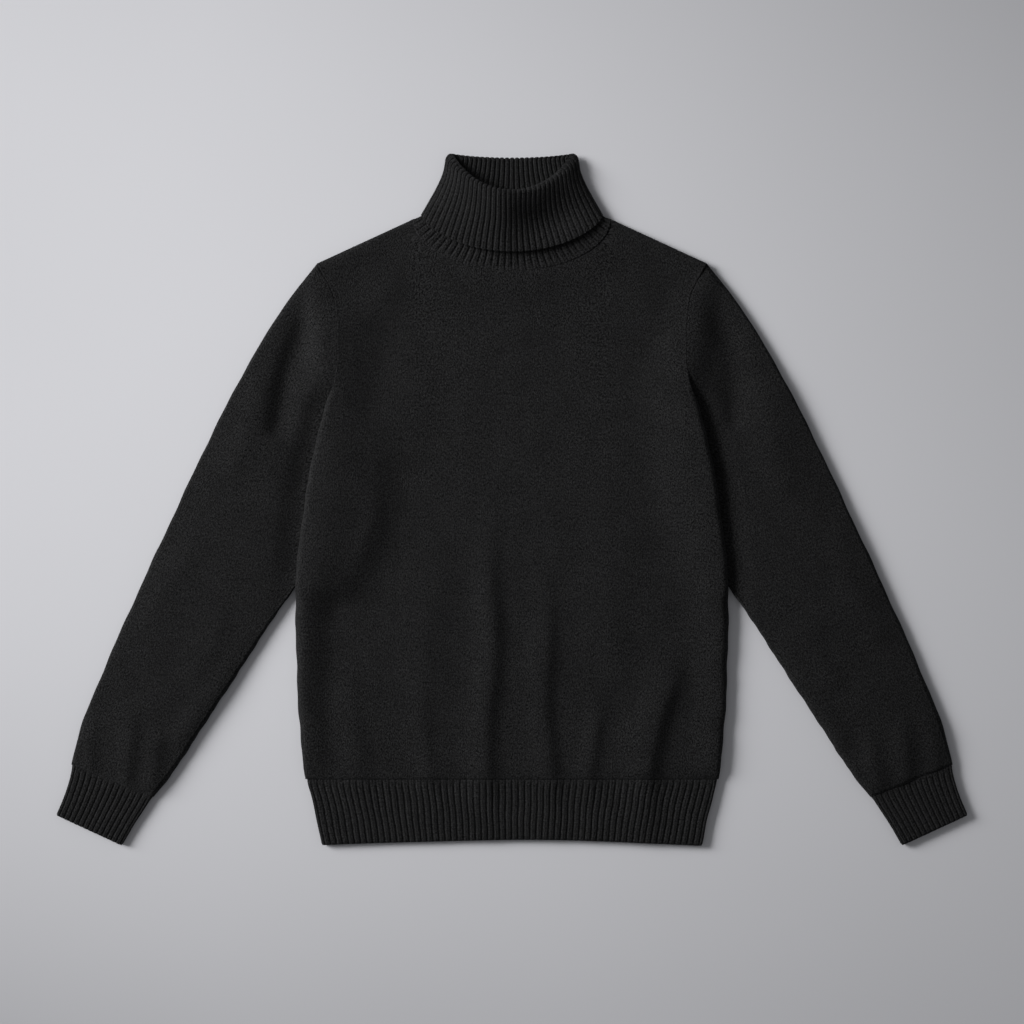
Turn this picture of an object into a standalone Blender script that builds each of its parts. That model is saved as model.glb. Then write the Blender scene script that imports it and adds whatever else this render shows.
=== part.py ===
"""Turtleneck sweater laid flat on a level surface.

The neck points to +Y, the front faces up (+Z) and the back panel rests on z = 0.
The origin is under the middle of the garment.  Sizes are in millimetres and are
turned into metres when a mesh is made.  Every piece is one closed wall of cloth,
lofted through rows of points that are worked out from the sizes below, and pieces
that are sewn together stay SEAM_GAP apart.
"""
import math

import bpy

MM = 0.001

# Cloth
JERSEY_WALL = 2.6
RIB_WALL = 3.0
SEAM_GAP = 0.3
ARM_SHIFT = 0.36                  # sideways step that leaves SEAM_GAP at the slanted armhole

# Heights above the surface
FLAT_TOP = 6.6                    # front panel where it lies on the back panel
EDGE_RADIUS = 4.25                # roll of the body at its side and shoulder edges
EDGE_TOP = 2 * EDGE_RADIUS + SEAM_GAP
NECK_TOP = 10.4                   # front panel where it meets the collar
NECK_MIDDLE = EDGE_RADIUS + SEAM_GAP / 2
BLOUSE_TOP = 9.0                  # front panel just above the hem rib
RIB_RADIUS = 3.8                  # roll of the ribs at their edges
SLEEVE_RADIUS = 3.9
SLEEVE_FLAT = 7.0
SIDE_BLEND = 42.0                 # width over which the front rises to its rolled edge
SIDE_TURN = math.radians(40)      # turn at which the edge is fully raised
BLOUSE_RISE = 16.0                # height of the slope just above the hem rib
BLOUSE_RUN = 60.0                 # length over which the blouse settles above it
BLOUSE_SHARE = 0.8
NECK_RUN = 60.0                   # length over which the front falls from the collar
NECK_START = 4.0
NECK_SPREAD = 45.0                # width over which the neck's height fades on the shoulder
NECK_SPREAD_START = 0.9           # part of the neck's half width where that begins
SHOULDER_RUN = 30.0               # length over which the front falls from the shoulder
SHOULDER_SPREAD = 16.0            # width over which the shoulder's height begins beside the neck
SHOULDER_SPREAD_START = 0.85
NECK_BAND = 12.0                  # depth of the band that follows the collar's ring
NECK_ROUND = 0.15                 # roundness of the neck ring's sides

# Neck and shoulders (half widths, and Y of each point)
NECK_HALF = 107.4
NECK_SIDE_Y = 304.7
NECK_FRONT_DROP = 55.1
NECK_BACK_DROP = 17.0
SHOULDER_X = 212.0
SHOULDER_Y = 256.5

# Hem rib
HEM_JOIN_Y = -304.5
HEM_END_Y = -377.0
HEM_BOW = 6.0
HEM_STATIONS = (                  # (half width, y, part of the bow)
    (223.5, HEM_JOIN_Y - SEAM_GAP, 0.0),
    (219.6, -322.0, 0.25),
    (212.8, -350.0, 0.65),
    (207.3, HEM_END_Y, 1.0),
)
HEM_ACROSS = (0.8, 0.6, 0.4, 0.2) # places of its columns, as parts of the half width

ROLL_STEPS = 3                    # facets in a quarter roll
NECK_STEPS = 12                   # facets in half the neck ring
SHOULDER_PARTS = (0.33, 0.66)     # places of the columns on the shoulder
TOP_FADE_Y = -20.0                # below this the rows of the body run level

# Right edge of the body from shoulder to hem.
# (name, x, y, turn-down of the front edge in degrees, turn-up of the back edge)
BODY_EDGE = (
    ("armhole_top", 206.0, 245.0, 0, 0),
    ("armhole_bend", 198.5, 232.0, 0, 0),
    ("armhole_upper", 192.5, 214.0, 0, 0),
    ("armhole_middle", 189.6, 188.0, 5, 0),
    ("armhole_deep", 189.4, 158.0, 12, 0),
    ("fold_start", 193.0, 128.0, 25, 0),
    ("fold_upper", 202.0, 102.0, 38, 0),
    ("fold_middle", 211.5, 68.0, 50, 0),
    ("fold_lower", 219.5, 30.0, 58, 0),
    ("fold_long", 226.5, -14.0, 60, 0),
    ("fold_end", 232.5, -62.0, 60, 0),
    ("underarm", 235.0, -94.0, 70, 30),
    ("side_top", 235.6, -118.0, 90, 90),
    ("side_upper", 234.8, -165.0, 90, 90),
    ("side_middle", 233.4, -212.0, 90, 90),
    ("side_lower", 231.0, -246.0, 90, 90),
    ("blouse", 228.6, -278.0, 90, 90),
    ("hem_join", 224.5, HEM_JOIN_Y, 90, 90),
)
UNDERARM_ROW = [row[0] for row in BODY_EDGE].index("underarm")
ARMHOLE_LEAN = (SHOULDER_X - BODY_EDGE[0][1]) / (SHOULDER_Y - BODY_EDGE[0][2])

# Soft folds of the front panel: a ridge is above the flat, a trough below it.
# (name, x and y of one end, x and y of the other, half width, height)
FRONT_FOLDS = (
    ("middle_trough", -6.0, -70.0, -8.0, -300.0, 22.0, -0.9),
    ("left_ridge", -40.0, -60.0, -44.0, -300.0, 24.0, 0.8),
    ("right_ridge", 28.0, -60.0, 26.0, -300.0, 20.0, 0.7),
    ("right_trough", 172.0, -200.0, 155.0, -300.0, 24.0, -0.9),
    ("left_trough", -182.0, -150.0, -178.0, -300.0, 26.0, -0.8),
    ("right_chest", 160.0, 190.0, 152.0, -40.0, 34.0, -0.9),
    ("left_chest", -156.0, 180.0, -148.0, -60.0, 34.0, -0.9),
)

# Right sleeve: its outer (shoulder) edge and its inner (underarm) edge, matched in pairs.
# (name, outer x, outer y, inner x, inner y, height of the flat, how much of the armhole's curve is left)
SLEEVE_STATIONS = (
    ("armhole", SHOULDER_X, SHOULDER_Y, 235.0, -94.0, FLAT_TOP, 1.0),
    ("cap", 243.0, 216.5, 240.5, -104.0, SLEEVE_FLAT, 0.55),
    ("upper", 283.0, 152.0, 254.0, -123.5, SLEEVE_FLAT, 0.2),
    ("biceps", 325.0, 74.0, 277.0, -157.5, SLEEVE_FLAT, 0.05),
    ("elbow", 366.0, -15.0, 303.0, -197.0, SLEEVE_FLAT, 0.0),
    ("forearm", 411.5, -110.5, 332.0, -241.0, SLEEVE_FLAT, 0.0),
    ("lower", 450.0, -198.0, 357.5, -281.0, SLEEVE_FLAT, 0.0),
    ("gather", 471.5, -258.0, 374.5, -306.5, 8.4, 0.0),
    ("cuff_join", 478.5, -287.5, 390.0, -323.5, 7.4, 0.0),
)

# Right cuff, in the same columns as the sleeve.
CUFF_STATIONS = (
    ("cuff_join", 478.7, -287.85, 390.1, -323.85, 7.6, 0.0),
    ("cuff_top", 481.5, -304.0, 398.5, -336.0, 7.6, 0.0),
    ("cuff_middle", 488.0, -324.0, 410.5, -354.0, 7.6, 0.0),
    ("cuff_end", 496.5, -343.3, 424.0, -377.0, 7.6, 0.0),
)
CUFF_ACROSS = (0.15, 0.3, 0.5, 0.7, 0.85)

# Collar: the stand rises from the neck seam to the fold, the turn-down comes back over it.
# (name, half width, side y, front y, back y, lowest z, highest z, roundness of the sides,
#  power of the front arc)
NECK_CURVE = 0.5                  # an ellipse
EDGE_CURVE = 0.68
LIP_CURVE = 0.85                  # nearly a parabola
STAND_LEVELS = (
    ("neck_seam", NECK_HALF - ARM_SHIFT, NECK_SIDE_Y, NECK_SIDE_Y - NECK_FRONT_DROP + ARM_SHIFT,
     NECK_SIDE_Y - NECK_BACK_DROP + ARM_SHIFT, 0.0, NECK_TOP, NECK_ROUND, NECK_CURVE),
    ("base", 99.5, 308.0, 258.0, 296.0, 1.6, 12.3, 0.3, 0.6),
    ("under_edge", 94.6, 311.5, 269.0, 304.5, 3.5, 14.4, 0.4, EDGE_CURVE),
    ("lower", 86.5, 325.0, 285.0, 320.0, 3.5, 17.8, 0.6, 0.74),
    ("middle", 78.0, 341.0, 303.0, 338.0, 3.5, 21.4, 0.75, 0.78),
    ("upper", 71.5, 356.0, 317.0, 353.0, 3.5, 24.0, 0.85, 0.82),
    ("fold", 68.2, 373.3, 330.0, 368.0, 3.5, 25.2, 0.9, LIP_CURVE),
)
TURN_DOWN_LEVELS = (
    ("fold", 71.6, 373.3, 330.0, 368.0, 0.0, 28.6, 0.9, LIP_CURVE),
    ("upper", 75.0, 356.0, 317.0, 353.0, 0.0, 27.4, 0.85, 0.82),
    ("middle", 81.6, 341.0, 303.0, 338.0, 0.0, 24.9, 0.75, 0.78),
    ("lower", 90.2, 325.0, 287.5, 322.0, 0.0, 21.5, 0.6, 0.74),
    ("edge", 99.0, 309.0, 270.0, 306.0, 0.0, 18.3, 0.45, EDGE_CURVE),
)
FOLD_ROLL = (                     # (depth inside the stand's fold, how far past it the roll stands)
    (2.25, 2.6),
    (-0.35, 3.6),
    (-2.95, 2.6),
)
BACK_CURVE = 0.6                  # power of the back arc
SIDE_MIDDLE = 5.0                 # height of the collar's widest line
SIDE_CLEARANCE = 0.6              # least height of that line above the lining below it

CHARCOAL = (0.0118, 0.0118, 0.0122, 1.0)
RIB_CHARCOAL = (0.0108, 0.0108, 0.0112, 1.0)
CLOTH_ROUGHNESS = 0.95


def clear_scene():
    """Remove every object, so that the file holds only the sweater."""
    for old in list(bpy.data.objects):
        bpy.data.objects.remove(old, do_unlink=True)


def make_material(name, colour):
    """A dull wool finish."""
    material = bpy.data.materials.new(name)
    material.use_nodes = True
    shader = material.node_tree.nodes["Principled BSDF"]
    shader.inputs["Base Color"].default_value = colour
    shader.inputs["Roughness"].default_value = CLOTH_ROUGHNESS
    shader.inputs["Metallic"].default_value = 0.0
    return material


def smooth(value):
    """Ease from 0 to 1."""
    value = min(max(value, 0.0), 1.0)
    return value * value * (3 - 2 * value)


def between(start, end, part):
    """Straight blend of two numbers."""
    return start + (end - start) * part


def wall_object(name, rows, back_rows, ring, material, collection):
    """One closed wall from its face rows and its lining rows.

    A ring joins the end of each row to its start; otherwise the two sides are closed too.
    """
    height = len(rows)
    width = len(rows[0])
    points = [p for row in rows for p in row] + [p for row in back_rows for p in row]
    vertices = [(x * MM, y * MM, z * MM) for x, y, z in points]
    lining = height * width

    def at(row, column, side):
        return side * lining + row * width + column % width

    faces = []
    for row in range(height - 1):
        for column in range(width if ring else width - 1):
            quad = [(row, column), (row, column + 1), (row + 1, column + 1), (row + 1, column)]
            faces.append([at(r, c, 0) for r, c in quad])
            faces.append([at(r, c, 1) for r, c in reversed(quad)])
    for row in (0, height - 1):
        for column in range(width if ring else width - 1):
            rim = [at(row, column, 0), at(row, column, 1), at(row, column + 1, 1), at(row, column + 1, 0)]
            faces.append(rim if row == 0 else rim[::-1])
    if not ring:
        for column in (0, width - 1):
            for row in range(height - 1):
                below = row + 1
                rim = [at(row, column, 0), at(below, column, 0), at(below, column, 1), at(row, column, 1)]
                faces.append(rim if column == 0 else rim[::-1])
    return mesh_object(name, vertices, faces, material, collection)


def mesh_object(name, vertices, faces, material, collection):
    """A finished object whose faces point outwards."""
    mesh = bpy.data.meshes.new(name)
    mesh.from_pydata(vertices, [], faces)
    mesh.validate()
    if signed_volume(mesh) < 0:
        mesh.flip_normals()
    mesh.materials.append(material)
    mesh.shade_smooth()
    mesh.set_sharp_from_angle(angle=math.radians(50))
    piece = bpy.data.objects.new(name, mesh)
    collection.objects.link(piece)
    return piece


def signed_volume(mesh):
    """Volume of a closed mesh, below zero when its faces point inwards."""
    mesh.calc_loop_triangles()
    total = 0.0
    for triangle in mesh.loop_triangles:
        a, b, c = (mesh.vertices[i].co for i in triangle.vertices)
        total += a.dot(b.cross(c))
    return total / 6


def mirrored(rows):
    """The same rows on the other side of x = 0."""
    return [[(-x, y, z) for x, y, z in row] for row in rows]


def edge_roll(step, turn, radius):
    """Inset, drop and tilt of one step of an edge that is rolled over by `turn`.

    The edge band is a quarter roll long.  What isn't rolled of it stays flat.
    """
    length = radius * math.pi / 2
    flat = length - radius * turn
    walked = length * step / ROLL_STEPS
    tilt = max(walked - flat, 0.0) / radius
    run = walked if tilt == 0.0 else flat + radius * math.sin(tilt)
    reach = flat + radius * math.sin(turn)
    return reach - run, radius * (1 - math.cos(tilt)), tilt


def neck_ring_height(angle, low, high, middle, power):
    """Height of a flattened ring at an angle, 90 degrees being the middle of the front."""
    rise = abs(math.sin(angle)) ** power
    if math.sin(angle) >= 0:
        return between(middle, high, rise)
    return between(middle, low, rise)


def top_edge_columns():
    """Columns of the body panels, from the left armhole to the right one.

    Each is (x, y on the front, y on the back, neck angle or None on the shoulder).
    """
    half = []
    for step in range(NECK_STEPS // 2 + 1):
        angle = math.pi / 2 - math.pi * step / NECK_STEPS
        x = NECK_HALF * math.cos(angle)
        rise = math.sin(angle) if step < NECK_STEPS // 2 else 0.0
        half.append((x, NECK_SIDE_Y - NECK_FRONT_DROP * rise, NECK_SIDE_Y - NECK_BACK_DROP * rise, angle))
    half[-1] = (*half[-1][:3], None)
    for part in SHOULDER_PARTS:
        half.append(shoulder_column(part))
    left = [(-x, front, back, angle) for x, front, back, angle in reversed(half[1:])]
    return left + half


def shoulder_column(part):
    """A column on the shoulder, `part` of the way from the neck to the armhole band."""
    x = between(NECK_HALF, SHOULDER_X - EDGE_RADIUS * math.pi / 2, part)
    y = shoulder_y(x)
    return x, y, y, None


def shoulder_y(x):
    """The straight shoulder line."""
    return between(NECK_SIDE_Y, SHOULDER_Y, (abs(x) - NECK_HALF) / (SHOULDER_X - NECK_HALF))


def body_edge_rows():
    """Rows of the body from the shoulder to the hem, with the roll of the shoulder first."""
    rows = []
    first = BODY_EDGE[0]
    for step in range(ROLL_STEPS, -1, -1):
        inset, drop, tilt = edge_roll(step, math.pi / 2, EDGE_RADIUS)
        part = inset / (SHOULDER_Y - first[2])
        rows.append((between(SHOULDER_X, first[1], part), SHOULDER_Y - inset, 0.0, 0.0, drop, tilt))
    for _, x, y, front_turn, back_turn in BODY_EDGE:
        rows.append((x, y, math.radians(front_turn), math.radians(back_turn), 0.0, 0.0))
    return rows


def fold_height(x, y, folds):
    """Sum of the soft folds at a point: each fades to nothing at its half width and its ends."""
    total = 0.0
    for _, x0, y0, x1, y1, half_width, height in folds:
        run_x, run_y = x1 - x0, y1 - y0
        length = math.hypot(run_x, run_y)
        along = ((x - x0) * run_x + (y - y0) * run_y) / length
        across = ((x - x0) * run_y - (y - y0) * run_x) / length
        near = min(max(along, 0.0), length)
        distance = math.hypot(across, along - near)
        start = smooth((along + half_width) / (2 * half_width + 0.25 * length))
        total += height * start * (1 - smooth(distance / (2 * half_width)))
    return total


def front_height(x, y, edge_x, edge_turn, below_top):
    """Height of the front panel's face."""
    height = FLAT_TOP + fold_height(x, y, FRONT_FOLDS)
    side = 1 - smooth((edge_x - abs(x)) / SIDE_BLEND)
    side *= smooth(edge_turn / SIDE_TURN)
    height = between(height, EDGE_TOP, side)
    above_hem = y - HEM_JOIN_Y
    blouse = smooth(above_hem / BLOUSE_RISE) * (1 - smooth((above_hem - BLOUSE_RISE) / BLOUSE_RUN))
    height = max(height, between(FLAT_TOP, BLOUSE_TOP, blouse * BLOUSE_SHARE))
    neck = 1 - smooth((below_top - NECK_START) / NECK_RUN)
    over_neck = 1 - smooth((abs(x) - NECK_HALF * NECK_SPREAD_START) / NECK_SPREAD)
    height = between(height, NECK_TOP, neck * over_neck)
    shoulder = 1 - smooth((below_top - EDGE_RADIUS) / SHOULDER_RUN)
    beside_neck = smooth((abs(x) - NECK_HALF * SHOULDER_SPREAD_START) / SHOULDER_SPREAD)
    return between(height, EDGE_TOP, shoulder * beside_neck)


def body_panel(is_front):
    """Face and lining rows of the front or the back panel."""
    columns = top_edge_columns()
    faces = []
    linings = []
    for edge_x, edge_y, front_turn, back_turn, top_drop, top_tilt in body_edge_rows():
        turn = front_turn if is_front else back_turn
        fade = 1 - smooth((SHOULDER_Y - edge_y) / (SHOULDER_Y - TOP_FADE_Y))
        band = [edge_roll(step, turn, EDGE_RADIUS) for step in range(ROLL_STEPS + 1)]
        band_start = edge_x - band[0][0]
        top_start = SHOULDER_X - EDGE_RADIUS * math.pi / 2
        sections = []
        for inset, drop, tilt in reversed(band):
            sections.append((-(edge_x - inset), -(SHOULDER_X - inset), drop, -tilt, None))
        sections = sections[:-1]
        for x, front_y, back_y, angle in [(-top_start, 0, 0, None)] + columns + [(top_start, 0, 0, None)]:
            sections.append((x * band_start / top_start, x, 0.0, 0.0, angle))
        for inset, drop, tilt in band[1:]:
            sections.append((edge_x - inset, SHOULDER_X - inset, drop, tilt, None))
        face = []
        lining = []
        for x, top_x, drop, tilt, angle in sections:
            top_y = top_line(top_x, is_front)
            y = edge_y + (top_y - SHOULDER_Y) * fade
            over_neck = angle is not None
            shoulder_drop = 0.0 if over_neck else top_drop
            shoulder_tilt = 0.0 if over_neck else top_tilt
            below_top = top_y - y
            sign = 1 if is_front else -1
            level = front_height(x, y, edge_x, turn, below_top) if is_front else 0.0
            if over_neck:
                ring = neck_ring_height(sign * angle, 0.0, NECK_TOP, NECK_MIDDLE, NECK_ROUND)
                level = between(ring, level, smooth(below_top / NECK_BAND))
            z = level - sign * (drop + shoulder_drop)
            normal = unit(math.sin(tilt), math.sin(shoulder_tilt),
                          sign * math.cos(tilt) * math.cos(shoulder_tilt))
            face.append((x, y, z))
            lean = ARMHOLE_LEAN * normal[1] * x / edge_x
            lining.append((x - JERSEY_WALL * (normal[0] + lean), y - JERSEY_WALL * normal[1],
                           z - JERSEY_WALL * normal[2]))
        faces.append(face)
        linings.append(lining)
    return faces, linings


def top_line(x, is_front):
    """Y of the panel's top edge: the neck's arc and the shoulders."""
    if abs(x) >= NECK_HALF - 0.001:
        return shoulder_y(min(abs(x), SHOULDER_X))
    drop = NECK_FRONT_DROP if is_front else NECK_BACK_DROP
    return NECK_SIDE_Y - drop * (1 - (x / NECK_HALF) ** 2) ** NECK_CURVE


def unit(x, y, z):
    """A vector of length one."""
    length = math.sqrt(x * x + y * y + z * z)
    return x / length, y / length, z / length


def hem_panel(is_front):
    """Face and lining rows of one half of the hem rib."""
    faces = []
    linings = []
    top = 2 * RIB_RADIUS + SEAM_GAP
    for half, y, bow in HEM_STATIONS:
        band = [edge_roll(step, math.pi / 2, RIB_RADIUS) for step in range(ROLL_STEPS + 1)]
        inner = half - band[0][0]
        right = [(inner * part, 0.0, 0.0) for part in reversed(HEM_ACROSS)]
        right += [(half - inset, drop, tilt) for inset, drop, tilt in band]
        left = [(-x, drop, -tilt) for x, drop, tilt in reversed(right)]
        face = []
        lining = []
        for x, drop, tilt in left + [(0.0, 0.0, 0.0)] + right:
            sign = 1 if is_front else -1
            z = (top if is_front else 0.0) - sign * drop
            bowed = y + bow * HEM_BOW * (1 - (x / half) ** 2)
            face.append((x, bowed, z))
            lining.append((x - RIB_WALL * math.sin(tilt), bowed, z - sign * RIB_WALL * math.cos(tilt)))
        faces.append(face)
        linings.append(lining)
    return faces, linings


def tube_ring(outer, inner, flat, radius, wall, across, curve, shift):
    """Face and lining points of one flattened ring between two edges of a tube.

    `across` are the places of the points on its flats, as parts of its width, and
    `curve` gives each point's sideways step from the straight line.
    """
    width = math.hypot(inner[0] - outer[0], inner[1] - outer[1])
    along = ((inner[0] - outer[0]) / width, (inner[1] - outer[1]) / width)
    crown = 2 * radius
    spots = []
    for step in range(2 * ROLL_STEPS + 1):
        angle = math.pi * 1.5 - math.pi * step / (2 * ROLL_STEPS)
        spots.append((radius + radius * math.cos(angle), radius + radius * math.sin(angle), angle))
    for part in across:
        spots.append((part * width, min(flat, crown), math.pi / 2))
    for step in range(2 * ROLL_STEPS + 1):
        angle = math.pi / 2 - math.pi * step / (2 * ROLL_STEPS)
        spots.append((width - radius + radius * math.cos(angle), radius + radius * math.sin(angle), angle))
    for part in reversed(across):
        spots.append((part * width, 0.0, -math.pi / 2))
    face = []
    lining = []
    for distance, z, angle in spots:
        for depth, ring in ((0.0, face), (wall, lining)):
            run = distance - depth * math.cos(angle)
            part = run / width
            x = outer[0] + along[0] * run + curve(part) + shift
            y = outer[1] + along[1] * run
            ring.append((x, y, z - depth * math.sin(angle)))
    return face, lining


def armhole_bow(part):
    """Sideways step of the armhole's line from the straight line between its ends."""
    rows = [(SHOULDER_X, SHOULDER_Y)] + [(row[1], row[2]) for row in BODY_EDGE[:UNDERARM_ROW + 1]]
    end_x, end_y = rows[-1]
    y = between(SHOULDER_Y, end_y, min(max(part, 0.0), 1.0))
    straight = between(SHOULDER_X, end_x, (SHOULDER_Y - y) / (SHOULDER_Y - end_y))
    for (x0, y0), (x1, y1) in zip(rows, rows[1:]):
        if y >= y1 - 1e-9:
            return between(x0, x1, (y0 - y) / (y0 - y1)) - straight
    return 0.0


def sleeve_rows():
    """Face and lining rows of the right sleeve."""
    end_y = BODY_EDGE[UNDERARM_ROW][2]
    across = [(SHOULDER_Y - row[2]) / (SHOULDER_Y - end_y) for row in BODY_EDGE[:UNDERARM_ROW]]
    faces = []
    linings = []
    for _, outer_x, outer_y, inner_x, inner_y, flat, bow in SLEEVE_STATIONS:
        face, lining = tube_ring((outer_x, outer_y), (inner_x, inner_y), flat, SLEEVE_RADIUS, JERSEY_WALL,
                                 across, lambda part, left=bow: armhole_bow(part) * left, ARM_SHIFT)
        faces.append(face)
        linings.append(lining)
    return faces, linings


def cuff_rows():
    """Face and lining rows of the right cuff."""
    faces = []
    linings = []
    for _, outer_x, outer_y, inner_x, inner_y, flat, _ in CUFF_STATIONS:
        face, lining = tube_ring((outer_x, outer_y), (inner_x, inner_y), flat, RIB_RADIUS, RIB_WALL,
                                 CUFF_ACROSS, lambda part: 0.0, 0.0)
        faces.append(face)
        linings.append(lining)
    return faces, linings


def collar_point(level, angle, depth, reach):
    """A point of the collar, `depth` inside a level's ring and `reach` past it."""
    _, half, side_y, front_y, back_y, low, high, roundness, curve = level
    middle = SIDE_MIDDLE if high > NECK_TOP else NECK_MIDDLE
    middle = max(middle, low + depth + SIDE_CLEARANCE)
    x = (half - depth) * math.cos(angle)
    rise = math.sin(angle) ** 2
    if math.sin(angle) >= 0:
        y = between(side_y, front_y, rise ** curve)
    else:
        y = between(side_y, back_y, rise ** BACK_CURVE)
    z = neck_ring_height(angle, low + depth, high - depth, middle, roundness)
    return x, y + reach, z


def collar_rows():
    """The collar's closed outline at each angle round the neck, as rows of one ring each."""
    angles = [2 * math.pi * step / (2 * NECK_STEPS) for step in range(2 * NECK_STEPS)]
    stand = list(STAND_LEVELS)
    turn = list(TURN_DOWN_LEVELS)
    outline = [(level, RIB_WALL, 0.0) for level in stand]
    outline += [(stand[-1], depth, reach) for depth, reach in FOLD_ROLL]
    outline += [(level, 0.0, 0.0) for level in turn]
    outline += [(level, RIB_WALL, 0.0) for level in reversed(turn)]
    outline += [(level, 0.0, 0.0) for level in reversed(stand)]
    return [[collar_point(level, angle, depth, reach) for angle in angles]
            for level, depth, reach in outline]


def collar_object(name, material, collection):
    """The folded collar as one closed wall."""
    rows = collar_rows()
    width = len(rows[0])
    vertices = [(x * MM, y * MM, z * MM) for row in rows for x, y, z in row]
    faces = []
    for row in range(len(rows)):
        following = (row + 1) % len(rows)
        for column in range(width):
            beside = (column + 1) % width
            faces.append([row * width + column, row * width + beside,
                          following * width + beside, following * width + column])
    return mesh_object(name, vertices, faces, material, collection)


def build():
    """All the sewn pieces of the sweater."""
    clear_scene()
    collection = bpy.data.collections.new("turtleneck_sweater")
    bpy.context.scene.collection.children.link(collection)
    jersey = make_material("wool_jersey", CHARCOAL)
    rib = make_material("wool_rib", RIB_CHARCOAL)

    for name, is_front in (("front_body", True), ("back_body", False)):
        rows, lining = body_panel(is_front)
        wall_object(name, rows, lining, False, jersey, collection)
    for name, is_front in (("hem_rib_front", True), ("hem_rib_back", False)):
        rows, lining = hem_panel(is_front)
        wall_object(name, rows, lining, False, rib, collection)
    for side, shape in (("right", list), ("left", mirrored)):
        rows, lining = sleeve_rows()
        wall_object("sleeve_" + side, shape(rows), shape(lining), True, jersey, collection)
        rows, lining = cuff_rows()
        wall_object("cuff_" + side, shape(rows), shape(lining), True, rib, collection)
    collar_object("collar", rib, collection)


build()
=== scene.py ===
"""Looks of a turtleneck sweater that lies flat, front up, with its neck towards +Y.

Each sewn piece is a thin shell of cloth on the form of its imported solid: jersey front, back and
sleeves with their soft creases, and the ribbed collar, hem and cuffs with every rib modelled.
Sizes are in millimetres and are turned into metres when a mesh is made.
"""
from __future__ import annotations

import logging
import math
from dataclasses import dataclass, field
from enum import Enum
from typing import NamedTuple

import bpy
import numpy as np
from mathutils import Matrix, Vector


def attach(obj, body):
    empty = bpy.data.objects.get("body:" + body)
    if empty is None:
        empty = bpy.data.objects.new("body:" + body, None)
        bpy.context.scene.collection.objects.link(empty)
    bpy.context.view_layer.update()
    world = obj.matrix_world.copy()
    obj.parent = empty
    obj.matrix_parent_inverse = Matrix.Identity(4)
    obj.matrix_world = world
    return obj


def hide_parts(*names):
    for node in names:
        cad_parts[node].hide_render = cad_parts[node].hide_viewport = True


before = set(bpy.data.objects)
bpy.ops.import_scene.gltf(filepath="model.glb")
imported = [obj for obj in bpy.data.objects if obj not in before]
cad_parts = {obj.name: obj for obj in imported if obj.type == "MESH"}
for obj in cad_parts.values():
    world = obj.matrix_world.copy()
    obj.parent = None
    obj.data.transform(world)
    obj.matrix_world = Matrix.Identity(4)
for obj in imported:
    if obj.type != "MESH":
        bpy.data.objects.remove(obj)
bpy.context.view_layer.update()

MM = 0.001
BODY = "root"
LOG = logging.getLogger("sweater")


class Side(Enum):
    """The viewer's left or right, as the sign of X."""

    LEFT = -1
    RIGHT = 1


class EdgeRow(NamedTuple):
    """One named height along the body's side edge, the same on both sides but for its relief."""

    name: str
    y: float
    x: float
    turn: float           # how far the front's edge is rolled over, in degrees
    back_turn: float
    left_rise: float      # height of the edge's ridge above the flat
    left_crest: float     # how far inside the edge its crest runs
    left_slope: float     # width of its inner slope
    right_rise: float
    right_crest: float
    right_slope: float
    outer: float          # width of its outer slope


BODY_EDGE = (
    EdgeRow("shoulder_point", 256.5, 212.0, 0, 0, 0.6, -9, 30, 0.6, -8, 30, 20),
    EdgeRow("armhole_top", 245.0, 205.6, 0, 0, 2.2, -11, 34, 2.0, -9, 30, 24),
    EdgeRow("armhole_bend", 232.0, 198.5, 0, 0, 5.0, -13, 42, 4.0, -9, 32, 26),
    EdgeRow("armhole_upper", 214.0, 192.5, 0, 0, 7.2, -14, 54, 6.0, -8, 36, 28),
    EdgeRow("armhole_middle", 188.0, 189.6, 0, 0, 8.8, -14, 64, 8.0, -7, 42, 30),
    EdgeRow("armhole_deep", 158.0, 189.4, 4, 0, 9.8, -12, 66, 9.8, -4, 50, 30),
    EdgeRow("fold_start", 128.0, 193.0, 26, 0, 10.2, -6, 64, 11.6, 0, 58, 32),
    EdgeRow("fold_upper", 102.0, 202.0, 80, 0, 10.8, 2, 62, 13.2, 4, 66, 40),
    EdgeRow("fold_middle", 68.0, 211.5, 125, 0, 11.6, 8, 62, 14.2, 6, 74, 60),
    EdgeRow("fold_lower", 30.0, 219.5, 145, 0, 12.4, 11, 62, 14.4, 7, 76, 70),
    EdgeRow("fold_long", -14.0, 226.5, 150, 0, 12.8, 12, 58, 13.4, 8, 72, 70),
    EdgeRow("fold_end", -62.0, 232.5, 140, 0, 12.0, 12, 50, 11.6, 8, 62, 70),
    EdgeRow("underarm", -94.0, 235.2, 115, 45, 10.8, 11, 44, 9.6, 8, 52, 70),
    EdgeRow("side_top", -118.0, 235.6, 90, 90, 9.2, 10, 38, 7.8, 8, 44, 70),
    EdgeRow("side_upper", -165.0, 234.8, 90, 90, 7.8, 9, 34, 6.2, 8, 38, 70),
    EdgeRow("side_middle", -212.0, 233.4, 90, 90, 6.0, 9, 30, 4.4, 8, 34, 70),
    EdgeRow("side_lower", -246.0, 231.0, 90, 90, 5.8, 9, 28, 4.4, 8, 32, 70),
    EdgeRow("blouse", -278.0, 228.6, 90, 90, 4.8, 9, 28, 4.2, 8, 30, 70),
    EdgeRow("hem_join", -304.5, 224.5, 90, 90, 1.4, 8, 26, 1.4, 8, 26, 70),
)
UNDERARM = next(row for row in BODY_EDGE if row.name == "underarm")


class Ridge(NamedTuple):
    """A soft crease between two points: raised, or a trough if its height is negative."""

    name: str
    x0: float
    y0: float
    x1: float
    y1: float
    left_width: float
    right_width: float
    height: float


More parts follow.
